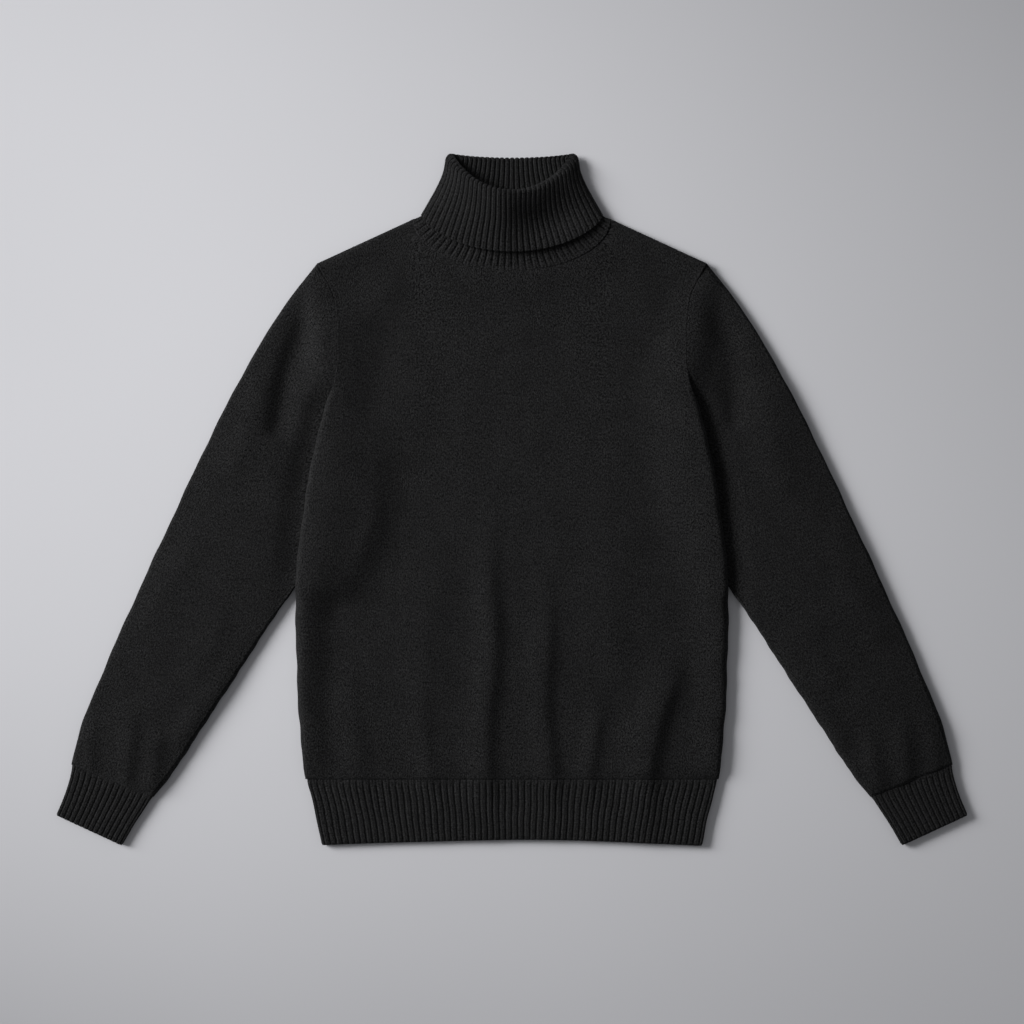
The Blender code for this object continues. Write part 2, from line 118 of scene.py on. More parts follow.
FRONT_RIDGES = (
    Ridge("middle", -20.0, 20.0, -27.0, -322.0, 20.0, 13.0, 5.6),
    Ridge("right_of_middle", 34.0, -60.0, 40.0, -322.0, 24.0, 12.0, 4.8),
    Ridge("right_hem", 180.0, -150.0, 144.0, -322.0, 30.0, 14.0, 7.6),
    Ridge("hem_pinch", 92.0, -200.0, 85.0, -320.0, 16.0, 11.0, 3.6),
    Ridge("hem_pinch_left", -100.0, -190.0, -92.0, -320.0, 18.0, 14.0, 2.8),
    Ridge("hem_left", -176.0, -160.0, -166.0, -320.0, 24.0, 14.0, 2.6),
    Ridge("left_slope", -132.0, 120.0, -190.0, -116.0, 50.0, 29.0, 9.6),
    Ridge("belly", -84.0, -30.0, -92.0, -230.0, 34.0, 26.0, 2.4),
    Ridge("belly_right", 118.0, -20.0, 104.0, -210.0, 34.0, 26.0, 2.4),
    Ridge("chest_right", 116.0, 150.0, 128.0, -60.0, 50.0, 38.0, 1.9),
    Ridge("chest_left", -96.0, 180.0, -112.0, 30.0, 44.0, 30.0, 1.9),
    Ridge("yoke_left", -122.0, 268.0, -168.0, 176.0, 26.0, 24.0, 2.0),
    Ridge("yoke_right", 120.0, 268.0, 164.0, 176.0, 26.0, 24.0, 2.0),
)
BACK_RIDGES = (
    Ridge("back_middle", 18.0, -20.0, 24.0, -290.0, 20.0, 20.0, 0.8),
    Ridge("back_left", -120.0, -90.0, -104.0, -290.0, 22.0, 18.0, 0.8),
    Ridge("back_right", 140.0, -60.0, 126.0, -280.0, 22.0, 18.0, 0.8),
)


class SleeveStation(NamedTuple):
    """Matched points of the right sleeve's outer and inner edge."""

    name: str
    outer_x: float
    outer_y: float
    inner_x: float
    inner_y: float
    arch: float           # how far the middle stands above the edges
    radius: float         # half the height of the edges


SLEEVE_STATIONS = (
    SleeveStation("armhole", 212.0, 256.5, 235.2, -94.0, 0.0, 4.0),
    SleeveStation("cap", 243.4, 216.5, 240.5, -103.0, 1.6, 4.3),
    SleeveStation("upper", 284.0, 152.0, 254.0, -121.5, 3.0, 4.5),
    SleeveStation("biceps", 325.0, 74.0, 277.0, -156.5, 3.4, 4.5),
    SleeveStation("elbow", 367.2, -15.0, 303.0, -197.0, 3.2, 4.4),
    SleeveStation("forearm", 411.2, -110.5, 332.0, -241.0, 2.8, 4.4),
    SleeveStation("lower", 449.4, -198.0, 357.5, -280.5, 2.8, 4.5),
    SleeveStation("gather", 472.6, -259.0, 374.5, -305.0, 2.2, 4.6),
    SleeveStation("cuff_join", 479.6, -288.5, 390.0, -324.0, 0.0, 4.1),
)
SLEEVE_RIDGES = {
    Side.LEFT: (
        Ridge("shoulder_trough", -215.0, 232.0, -262.0, 60.0, 14.0, 20.0, -6.5),
        Ridge("upper_arm", -262.0, 176.0, -306.0, 20.0, 20.0, 18.0, 2.3),
        Ridge("elbow_long", -330.0, 6.0, -396.0, -150.0, 24.0, 20.0, 2.1),
        Ridge("elbow_short", -300.0, -96.0, -352.0, -206.0, 20.0, 16.0, 2.1),
        Ridge("inner_edge", -286.0, -146.0, -368.0, -276.0, 15.0, 11.0, 2.3),
        Ridge("cuff_inner", -376.0, -232.0, -396.0, -326.0, 13.0, 11.0, 2.3),
        Ridge("cuff_middle", -412.0, -214.0, -424.0, -326.0, 15.0, 11.0, 2.9),
        Ridge("cuff_outer", -452.0, -222.0, -460.0, -312.0, 13.0, 10.0, 2.3),
    ),
    Side.RIGHT: (
        Ridge("shoulder_trough", 222.0, 236.0, 246.0, 70.0, 16.0, 20.0, -5.0),
        Ridge("upper_arm", 268.0, 168.0, 300.0, 0.0, 18.0, 26.0, 2.3),
        Ridge("elbow_long", 338.0, -8.0, 402.0, -160.0, 22.0, 22.0, 2.1),
        Ridge("elbow_short", 300.0, -110.0, 356.0, -214.0, 18.0, 20.0, 1.8),
        Ridge("inner_edge", 282.0, -140.0, 366.0, -272.0, 12.0, 14.0, 1.8),
        Ridge("cuff_inner", 380.0, -236.0, 400.0, -326.0, 12.0, 12.0, 2.3),
        Ridge("cuff_middle", 418.0, -220.0, 430.0, -324.0, 14.0, 12.0, 2.9),
        Ridge("cuff_outer", 454.0, -226.0, 464.0, -312.0, 12.0, 12.0, 2.1),
    ),
}


def smooth(value: np.ndarray) -> np.ndarray:
    """Ease from 0 to 1."""
    value = np.clip(value, 0.0, 1.0)
    return value * value * (3 - 2 * value)


def blend(start, end, part):
    """Straight blend of two values or arrays."""
    return start + (end - start) * part


class Track:
    """A smooth line of values through the rows of a table."""

    def __init__(self, knots: list[float], values: list[float]) -> None:
        """Sort the rows by their knots and work out a slope at each.

        Args:
            knots: Where each value holds.
            values: The values.
        """
        order = np.argsort(knots)
        self.knots = np.asarray(knots, float)[order]
        self.values = np.asarray(values, float)[order]
        self.slopes = np.gradient(self.values, self.knots)

    def at(self, place: np.ndarray) -> np.ndarray:
        """Values at any places, held level past the ends.

        Args:
            place: Where to read the line.

        Returns:
            One value for each place.
        """
        place = np.clip(np.asarray(place, float), self.knots[0], self.knots[-1])
        right = np.clip(np.searchsorted(self.knots, place), 1, len(self.knots) - 1)
        left = right - 1
        gap = self.knots[right] - self.knots[left]
        t = (place - self.knots[left]) / gap
        leaving = (t**3 - 2 * t**2 + t) * gap * self.slopes[left]
        arriving = (t**3 - t**2) * gap * self.slopes[right]
        return ((2 * t**3 - 3 * t**2 + 1) * self.values[left] + leaving
                + (3 * t**2 - 2 * t**3) * self.values[right] + arriving)


def edge_track(column: str) -> Track:
    """One column of the body's edge table against Y."""
    return Track([row.y for row in BODY_EDGE], [getattr(row, column) for row in BODY_EDGE])


def ridge_height(x: np.ndarray, y: np.ndarray, ridges: tuple[Ridge, ...]) -> np.ndarray:
    """Sum of the creases at each point.

    Args:
        x: Places across.
        y: Places along.
        ridges: The creases.

    Returns:
        Height to add at each point.
    """
    total = np.zeros_like(x)
    for ridge in ridges:
        run_x, run_y = ridge.x1 - ridge.x0, ridge.y1 - ridge.y0
        length = math.hypot(run_x, run_y)
        along = ((x - ridge.x0) * run_x + (y - ridge.y0) * run_y) / length
        offset = ((x - ridge.x0) * -run_y + (y - ridge.y0) * run_x) / length
        sway = 0.18 * (ridge.left_width + ridge.right_width) * np.sin(along / 31.0 + ridge.x0)
        offset = offset + sway * 0.5
        width = np.where(offset < 0, ridge.left_width, ridge.right_width)
        ends = smooth(along / (0.45 * length)) * smooth((length - along) / 18.0)
        total += ridge.height * ends * np.exp(-1.4 * (offset / width) ** 2)
    return total


def undulation(x: np.ndarray, y: np.ndarray, size: float) -> np.ndarray:
    """Gentle unevenness of hand-laid cloth: a few crossing waves of unlike length."""
    waves = ((71.0, 0.4, 0.3), (53.0, 1.9, 1.7), (37.0, 2.8, 4.1), (29.0, 1.1, 2.2), (23.0, 0.1, 5.0))
    total = np.zeros_like(x)
    for length, heading, phase in waves:
        along = x * math.cos(heading) + y * math.sin(heading)
        across = y * math.cos(heading) - x * math.sin(heading)
        total += length / 71.0 * np.sin(along / length * 2.1 + phase + 0.8 * np.sin(across / (length * 1.7)))
    return total * size / 2.4


# ---------------------------------------------------------------- meshes

def deselect_all() -> None:
    """Leave nothing selected, so that an operator acts on the new piece alone."""
    bpy.ops.object.select_all(action="DESELECT")


def pick(piece: bpy.types.Object) -> None:
    """Select one piece and make it the active one."""
    deselect_all()
    piece.select_set(True)
    bpy.context.view_layer.objects.active = piece


def cloth_grid(name: str, points: np.ndarray, flat: np.ndarray, ring: bool,
               loop: bool = False) -> bpy.types.Object:
    """Lay a grid of cloth over rows of points.

    Args:
        name: Name of the piece.
        points: Rows by columns of places in millimetres.
        flat: The same grid's places on the flat cloth, in millimetres, for its UV map.
        ring: The last column is sewn to the first one, which it repeats.
        loop: The last row is sewn to the first one, which it repeats.

    Returns:
        The new piece, which stands at the origin.
    """
    rows, columns = points.shape[:2]
    deselect_all()
    bpy.ops.mesh.primitive_grid_add(x_subdivisions=columns - 1, y_subdivisions=rows - 1, size=1.0)
    piece = bpy.context.active_object
    piece.name = name
    mesh = piece.data
    mesh.name = name
    mesh.vertices.foreach_set("co", (points * MM).astype(np.float32).ravel())
    corners = np.empty(len(mesh.loops), dtype=np.int32)
    mesh.loops.foreach_get("vertex_index", corners)
    places = flat.reshape(-1, 2)[corners] * MM
    mesh.uv_layers.active.data.foreach_set("uv", places.astype(np.float32).ravel())
    mesh.update()
    if ring or loop:
        bpy.ops.object.mode_set(mode="EDIT")
        bpy.ops.mesh.select_all(action="SELECT")
        bpy.ops.mesh.remove_doubles(threshold=0.02 * MM)
        bpy.ops.object.mode_set(mode="OBJECT")
    bpy.ops.object.shade_smooth()
    return piece


def flip(piece: bpy.types.Object) -> None:
    """Turn a piece's faces to its other side."""
    pick(piece)
    bpy.ops.object.mode_set(mode="EDIT")
    bpy.ops.mesh.select_all(action="SELECT")
    bpy.ops.mesh.flip_normals()
    bpy.ops.object.mode_set(mode="OBJECT")


def thicken(piece: bpy.types.Object, wall: float) -> None:
    """Give a sheet its wall, inwards from its face.

    Args:
        piece: The sheet, its faces outwards.
        wall: Thickness in millimetres.
    """
    pick(piece)
    solid = piece.modifiers.new("wall", "SOLIDIFY")
    solid.thickness = wall * MM
    solid.offset = -1.0
    solid.use_rim = True
    bpy.ops.object.modifier_apply(modifier=solid.name)


def surface_normals(points: np.ndarray, ring: bool) -> np.ndarray:
    """Unit normals of a grid of points, from its rows and columns.

    Args:
        points: Rows by columns by three.
        ring: The columns close on themselves, the last one repeating the first.

    Returns:
        The normals, row tangent crossed with column tangent.
    """
    if ring:
        wrapped = np.concatenate([points[:, -2:-1], points, points[:, 1:2]], axis=1)
        across = wrapped[:, 2:] - wrapped[:, :-2]
    else:
        across = np.gradient(points, axis=1)
    along = np.gradient(points, axis=0)
    normal = np.cross(across, along)
    return normal / np.maximum(np.linalg.norm(normal, axis=2, keepdims=True), 1e-9)


def rib_profile(phase: np.ndarray) -> np.ndarray:
    """Height of a knitted rib, 1 on its broad back and 0 in the narrow groove.

    Args:
        phase: Place across the ribs, one rib for each whole number, grooves at whole numbers.

    Returns:
        Height between 0 and 1.
    """
    wave = 0.5 - 0.5 * np.cos(2 * math.pi * phase)
    return wave ** 0.34 - 0.10 * np.exp(-((phase % 1.0 - 0.5) / 0.09) ** 2)


def rib_start(phase: np.ndarray) -> np.ndarray:
    """How late each rib's groove begins, uneven from rib to rib, between 0 and 1."""
    whole = np.round(phase)
    return (np.sin(whole * 12.9898) * 43758.5453) % 1.0


# ---------------------------------------------------------------- finishes

class Nodes:
    """Short hand for wiring a material."""

    def __init__(self, name: str) -> None:
        """Start a material that holds only its shader and its output."""
        self.material = bpy.data.materials.new(name)
        self.material.use_nodes = True
        self.tree = self.material.node_tree
        self.shader = self.tree.nodes["Principled BSDF"]

    def add(self, kind: str, **values) -> bpy.types.Node:
        """Add a node and set its own properties."""
        node = self.tree.nodes.new(kind)
        for key, value in values.items():
            setattr(node, key, value)
        return node

    def wire(self, source, target) -> None:
        """Join an output to an input."""
        self.tree.links.new(source, target)

    def math(self, operation: str, first, second=0.0) -> bpy.types.NodeSocket:
        """A Math node on sockets or numbers."""
        node = self.add("ShaderNodeMath", operation=operation)
        for socket, value in zip(node.inputs, (first, second)):
            if isinstance(value, (int, float)):
                socket.default_value = value
            else:
                self.wire(value, socket)
        return node.outputs[0]

    def scaled(self, source, scale: tuple[float, float, float], turn: float = 0.0) -> bpy.types.NodeSocket:
        """A Mapping node that stretches and turns a pattern."""
        node = self.add("ShaderNodeMapping")
        node.inputs["Scale"].default_value = scale
        node.inputs["Rotation"].default_value = (0.0, 0.0, turn)
        self.wire(source, node.inputs["Vector"])
        return node.outputs[0]

    def noise(self, source, detail: float = 2.0, distortion: float = 0.0) -> bpy.types.NodeSocket:
        """A Noise texture of scale 1 on an already scaled pattern."""
        node = self.add("ShaderNodeTexNoise")
        node.inputs["Scale"].default_value = 1.0
        node.inputs["Detail"].default_value = detail
        node.inputs["Distortion"].default_value = distortion
        self.wire(source, node.inputs["Vector"])
        return node.outputs[0]

    def span(self, source, low: float, high: float, new_low: float, new_high: float) -> bpy.types.NodeSocket:
        """A Map Range node, clamped."""
        node = self.add("ShaderNodeMapRange")
        for name, value in (("From Min", low), ("From Max", high), ("To Min", new_low), ("To Max", new_high)):
            node.inputs[name].default_value = value
        self.wire(source, node.inputs["Value"])
        return node.outputs[0]

    def mix(self, part, first, second) -> bpy.types.NodeSocket:
        """A colour Mix node on sockets or colours."""
        node = self.add("ShaderNodeMix", data_type="RGBA")
        if isinstance(part, (int, float)):
            node.inputs[0].default_value = part
        else:
            self.wire(part, node.inputs[0])
        for socket, value in ((node.inputs[6], first), (node.inputs[7], second)):
            if isinstance(value, tuple):
                socket.default_value = (*value, 1.0)
            else:
                self.wire(value, socket)
        return node.outputs[2]


@dataclass(frozen=True)
class WoolFinish:
    """Felted wool: dark and paler fibres over rows of small stitches, painted shade in the gaps between the
    columns of stitches, and a soft nap.
    """

    name: str
    dark: tuple[float, float, float]
    pale: tuple[float, float, float]
    wale: float                       # width of one column of stitches, in millimetres
    course: float                     # height of one stitch
    stitch_share: float               # how much of the pattern is stitches and how much is nap
    relief: float                     # depth of the pattern in millimetres
    groove: float                     # painted shade: how much darker the gap between two columns of stitches is drawn
    sheen: float = 0.05

    def build(self) -> bpy.types.Material:
        """Wire the material.

        Returns:
            The material, which reads the piece's UV map in metres of flat cloth.
        """
        n = Nodes(self.name)
        uv = n.add("ShaderNodeUVMap").outputs[0]
        left = n.noise(n.scaled(uv, (760.0, 470.0, 1.0), 0.4), 2.0, 0.5)
        right = n.noise(n.scaled(uv, (760.0, 470.0, 1.0), -0.4), 2.0, 0.5)
        strands = n.span(n.math("MAXIMUM", left, right), 0.48, 0.64, 0.0, 1.0)
        lumps = n.noise(n.scaled(uv, (660.0, 520.0, 1.0)), 2.0, 0.3)
        fuzz = n.noise(n.scaled(uv, (1300.0, 1300.0, 1.0)), 2.0)
        cloud = n.noise(n.scaled(uv, (40.0, 30.0, 1.0)), 3.0)

        parts = n.add("ShaderNodeSeparateXYZ")
        n.wire(n.scaled(uv, (1.0 / (self.wale * MM), 1.0 / (self.course * MM), 1.0)), parts.inputs[0])
        wobble = n.math("MULTIPLY", n.math("SUBTRACT", lumps, 0.5), 0.7)
        across = n.math("ADD", parts.outputs[0], n.math("MULTIPLY", wobble, 0.5))
        slant = n.math("ABSOLUTE", n.math("SUBTRACT", n.math("FRACT", across), 0.5))
        lifted = n.math("ADD", parts.outputs[1], n.math("MULTIPLY", slant, 1.6))
        row = n.math("FRACT", n.math("ADD", lifted, wobble))
        legs = n.math("SINE", n.math("MULTIPLY", n.math("FRACT", n.math("MULTIPLY", across, 2.0)), math.pi))
        stitch = n.math("POWER", n.math("SINE", n.math("MULTIPLY", row, math.pi)), 0.7)
        legs = n.math("MULTIPLY", stitch, legs)
        # painted shade: gap marks the recess between two columns of stitches, where the tone is darkened
        # below
        gap = n.span(slant, 0.34, 0.49, 0.0, 1.0)

        weave = n.math("ADD", n.math("MULTIPLY", legs, self.stitch_share),
                       n.math("MULTIPLY", strands, 1.0 - self.stitch_share))
        clumps = n.span(lumps, 0.36, 0.64, 0.0, 1.0)
        tone = n.math("ADD", n.math("MULTIPLY", weave, 0.62), n.math("MULTIPLY", clumps, 0.38))
        tone = n.span(tone, 0.12, 0.84, 0.0, 1.0)
        tone = n.math("MULTIPLY", tone, n.span(cloud, 0.3, 0.7, 0.86, 1.08))
        # painted shade: the tone is darkened in the gap between columns, by the groove share
        tone = n.math("MULTIPLY", tone, n.math("SUBTRACT", 1.0, n.math("MULTIPLY", gap, self.groove)))
        n.wire(n.mix(tone, self.dark, self.pale), n.shader.inputs["Base Color"])

        height = n.math("ADD", n.math("MULTIPLY", weave, 0.8), n.math("MULTIPLY", clumps, 0.5))
        height = n.math("ADD", height, n.math("MULTIPLY", fuzz, 0.25))
        bump = n.add("ShaderNodeBump")
        bump.inputs["Strength"].default_value = 1.0
        bump.inputs["Distance"].default_value = self.relief * MM
        n.wire(height, bump.inputs["Height"])
        n.wire(bump.outputs[0], n.shader.inputs["Normal"])
        n.shader.inputs["Roughness"].default_value = 0.95
        n.shader.inputs["Specular IOR Level"].default_value = 0.05
        n.shader.inputs["Sheen Weight"].default_value = self.sheen
        n.shader.inputs["Sheen Roughness"].default_value = 0.5
        n.shader.inputs["Sheen Tint"].default_value = (0.62, 0.63, 0.66, 1.0)
        return n.material


WOOL_DARK = (0.0018, 0.0018, 0.0018)
WOOL_PALE = (0.0276, 0.0276, 0.0282)
JERSEY = WoolFinish("wool_jersey", WOOL_DARK, WOOL_PALE, wale=2.3, course=1.8, stitch_share=0.34,
                    relief=0.5, groove=0.25)
RIB = WoolFinish("wool_rib", WOOL_DARK, WOOL_PALE, wale=7.0, course=2.6, stitch_share=0.5,
                 relief=0.5, groove=0.45)
RIB_PITCH = 7.0                       # width of one rib on the flat cloth


@dataclass(frozen=True)
class FloorFinish:
    """Matt pale grey paper."""

    colour: tuple[float, float, float] = (0.60, 0.60, 0.625)

    def build(self) -> bpy.types.Material:
        """Wire the material with a faint unevenness."""
        n = Nodes("studio_paper")
        place = n.add("ShaderNodeTexCoord").outputs["Object"]
        cloud = n.span(n.noise(n.scaled(place, (2.0, 2.0, 2.0)), 2.0), 0.3, 0.7, 0.0, 1.0)
        darker = tuple(0.975 * value for value in self.colour)
        n.wire(n.mix(cloud, darker, self.colour), n.shader.inputs["Base Color"])
        n.shader.inputs["Roughness"].default_value = 0.9
        n.shader.inputs["Specular IOR Level"].default_value = 0.15
        return n.material


class Dresser:
    """Gives a finished piece its cloth and its body, and hides the solid that it stands for."""

    def __init__(self) -> None:
        """Build both cloths once."""
        self.cloth = {finish.name: finish.build() for finish in (JERSEY, RIB)}

    def dress(self, piece: bpy.types.Object, slot: str,
              nodes: tuple[str, ...]) -> None:
        """Finish one piece.

        Args:
            piece: The mesh.
            slot: The cloth's slot, which names its finish too.
            nodes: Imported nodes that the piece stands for.
        """
        piece.data.materials.clear()
        piece.data.materials.append(self.cloth[slot])
        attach(piece, BODY)
        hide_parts(*nodes)
        LOG.info("%s: %d faces", piece.name, len(piece.data.polygons))


# ---------------------------------------------------------------- body

@dataclass
class BodyShape:
    """Sizes that the front and the back share."""

    wall: float = 2.4
    flat_top: float = 7.2
    seam_height: float = 4.7          # where front and back meet at the side
    back_radius: float = 4.4
    fold_radius: float = 6.2
    neck_half: float = 107.4
    neck_side_y: float = 304.7
    front_drop: float = 55.1
    back_drop: float = 17.0
    neck_top: float = 11.6
    neck_low: float = 7.0
    neck_round: float = 0.7
    shoulder_x: float = 212.0
    shoulder_y: float = 256.5
    shoulder_top: float = 9.6
    hem_top: float = 8.3
    hem_y: float = -304.5
    fade_y: float = -20.0
    band: float = 20.0                # width at the top edge that the rolled band takes up
    corner_round: int = 33            # steps of corner_step over which the neck's corner is worn round
    corner_step: float = 2.0
    corner_margin: float = 60.0
    corner_depth: float = 26.0        # distance below the top edge where it is fully round
    corner_fan: float = 15.0          # sideways step of the columns that start at the corner
    fan_depth: float = 22.0           # distance below the top edge over which that step grows
    fan_power: int = 5                # how late the step begins inside the neck
    fan_width: float = 84.0           # width over which it fades on the shoulder
    edge: Track = field(default_factory=lambda: edge_track("x"))

    def shoulder_line(self, x: np.ndarray) -> np.ndarray:
        """Y of the shoulder seam."""
        part = (np.abs(x) - self.neck_half) / (self.shoulder_x - self.neck_half)
        return blend(self.neck_side_y, self.shoulder_y, part)

    def top_line(self, x: np.ndarray, drop: float) -> np.ndarray:
        """Y of a panel's top edge: the neck's arc between the two shoulders."""
        inside = np.clip(1 - (x / self.neck_half) ** 2, 0, 1)
        neck_arc = self.neck_side_y - drop * np.sqrt(inside)
        return np.where(np.abs(x) < self.neck_half, neck_arc, self.shoulder_line(x))

    def eased_top_line(self, x: np.ndarray, drop: float) -> np.ndarray:
        """The top line with the corners of the neck worn round, as the rows below it run."""
        end = self.shoulder_x + self.corner_margin
        places = np.arange(-end, end, self.corner_step)
        weights = np.hanning(self.corner_round)
        line = np.convolve(self.top_line(places, drop), weights / weights.sum(), mode="same")
        return np.interp(x, places, line)

    def neck_shape(self, x: np.ndarray, y: np.ndarray) -> tuple[np.ndarray, np.ndarray]:
        """Distance of each point outside the front neckline, and the collar's height beside it."""
        across, along = x / self.neck_half, np.minimum(y - self.neck_side_y, 0.0) / self.front_drop
        reach = np.maximum(np.hypot(across, along), 0.3)
        slope = np.hypot(across / self.neck_half, along / self.front_drop) / reach
        height = self.neck_low + (self.neck_top - self.neck_low) * np.abs(along / reach) ** self.neck_round
        return np.maximum(reach - 1.0, 0.0) / np.maximum(slope, 1e-4), height

    def columns(self, cell: float) -> np.ndarray:
        """Places of the columns at the top edge, from the left band to the right one."""
        steps = int(1.5 * self.neck_half / cell)
        neck = self.neck_half * (1 - (1 - np.linspace(0, 1, steps + 1)) ** 1.5)
        end = self.shoulder_x - self.band
        shoulder = np.linspace(self.neck_half, end, int((end - self.neck_half) / cell) + 1)[1:]
        half = np.concatenate([neck, shoulder])
        return np.concatenate([-half[:0:-1], half])

    def rows(self, cell: float, top_radius: float) -> tuple[np.ndarray, np.ndarray]:
        """Y of each row at the side edge, and the drop of the shoulder's roll there."""
        angles = np.linspace(math.pi / 2, 0, 7)
        roll_y = self.shoulder_y - top_radius * (1 - np.sin(angles))
        count = int((roll_y[-1] - self.hem_y) / cell)
        rest = np.linspace(roll_y[-1], self.hem_y, count + 1)[1:]
        y = np.concatenate([roll_y, rest])[::-1]
        drop = np.concatenate([top_radius * (1 - np.cos(angles)), np.zeros(count)])[::-1]
        return y, drop


def roll_band(length: float, turn: np.ndarray, radius: np.ndarray,
              steps: int) -> tuple[np.ndarray, np.ndarray]:
    """Inset and drop across an edge band that is rolled over by `turn`.

    Args:
        length: Length of cloth in the band.
        turn: Angle of the roll on each row.
        radius: Radius of the roll on each row.
        steps: Columns in the band.

    Returns:
        Two grids, rows by steps + 1, from the band's start to the cloth's edge.
    """
    walked = np.linspace(0, length, steps + 1)[None, :]
    turn = turn[:, None]
    radius = radius[:, None]
    flat = np.maximum(length - radius * turn, 0.0)
    tilt = np.clip((walked - flat) / radius, 0.0, None)
    run = np.where(tilt > 0, flat + radius * np.sin(tilt), walked)
    reach = flat + radius * np.sin(np.minimum(turn, math.pi / 2))
    return reach - run, radius * (1 - np.cos(tilt))


class Relief:
    """The ridge along the body's side edges, which the sleeves share above the folds."""

    def __init__(self, side: Side) -> None:
        """Read one side's columns of the edge table."""
        prefix = side.name.lower()
        self.rise = edge_track(prefix + "_rise")
        self.crest = edge_track(prefix + "_crest")
        self.slope = edge_track(prefix + "_slope")
        self.outer = edge_track("outer")

    def at(self, y: np.ndarray, inset: np.ndarray) -> np.ndarray:
        """Height of the ridge.

        Args:
            y: Y of each point along the edge.
            inset: Distance of each point inside the edge, negative on the sleeve.

        Returns:
            Height above the flat.
        """
        crest = self.crest.at(y)
        inner = 1 - smooth((inset - crest) / self.slope.at(y))
        outer = 1 - smooth((crest - inset) / self.outer.at(y))
        return self.rise.at(y) * np.where(inset > crest, inner, outer)


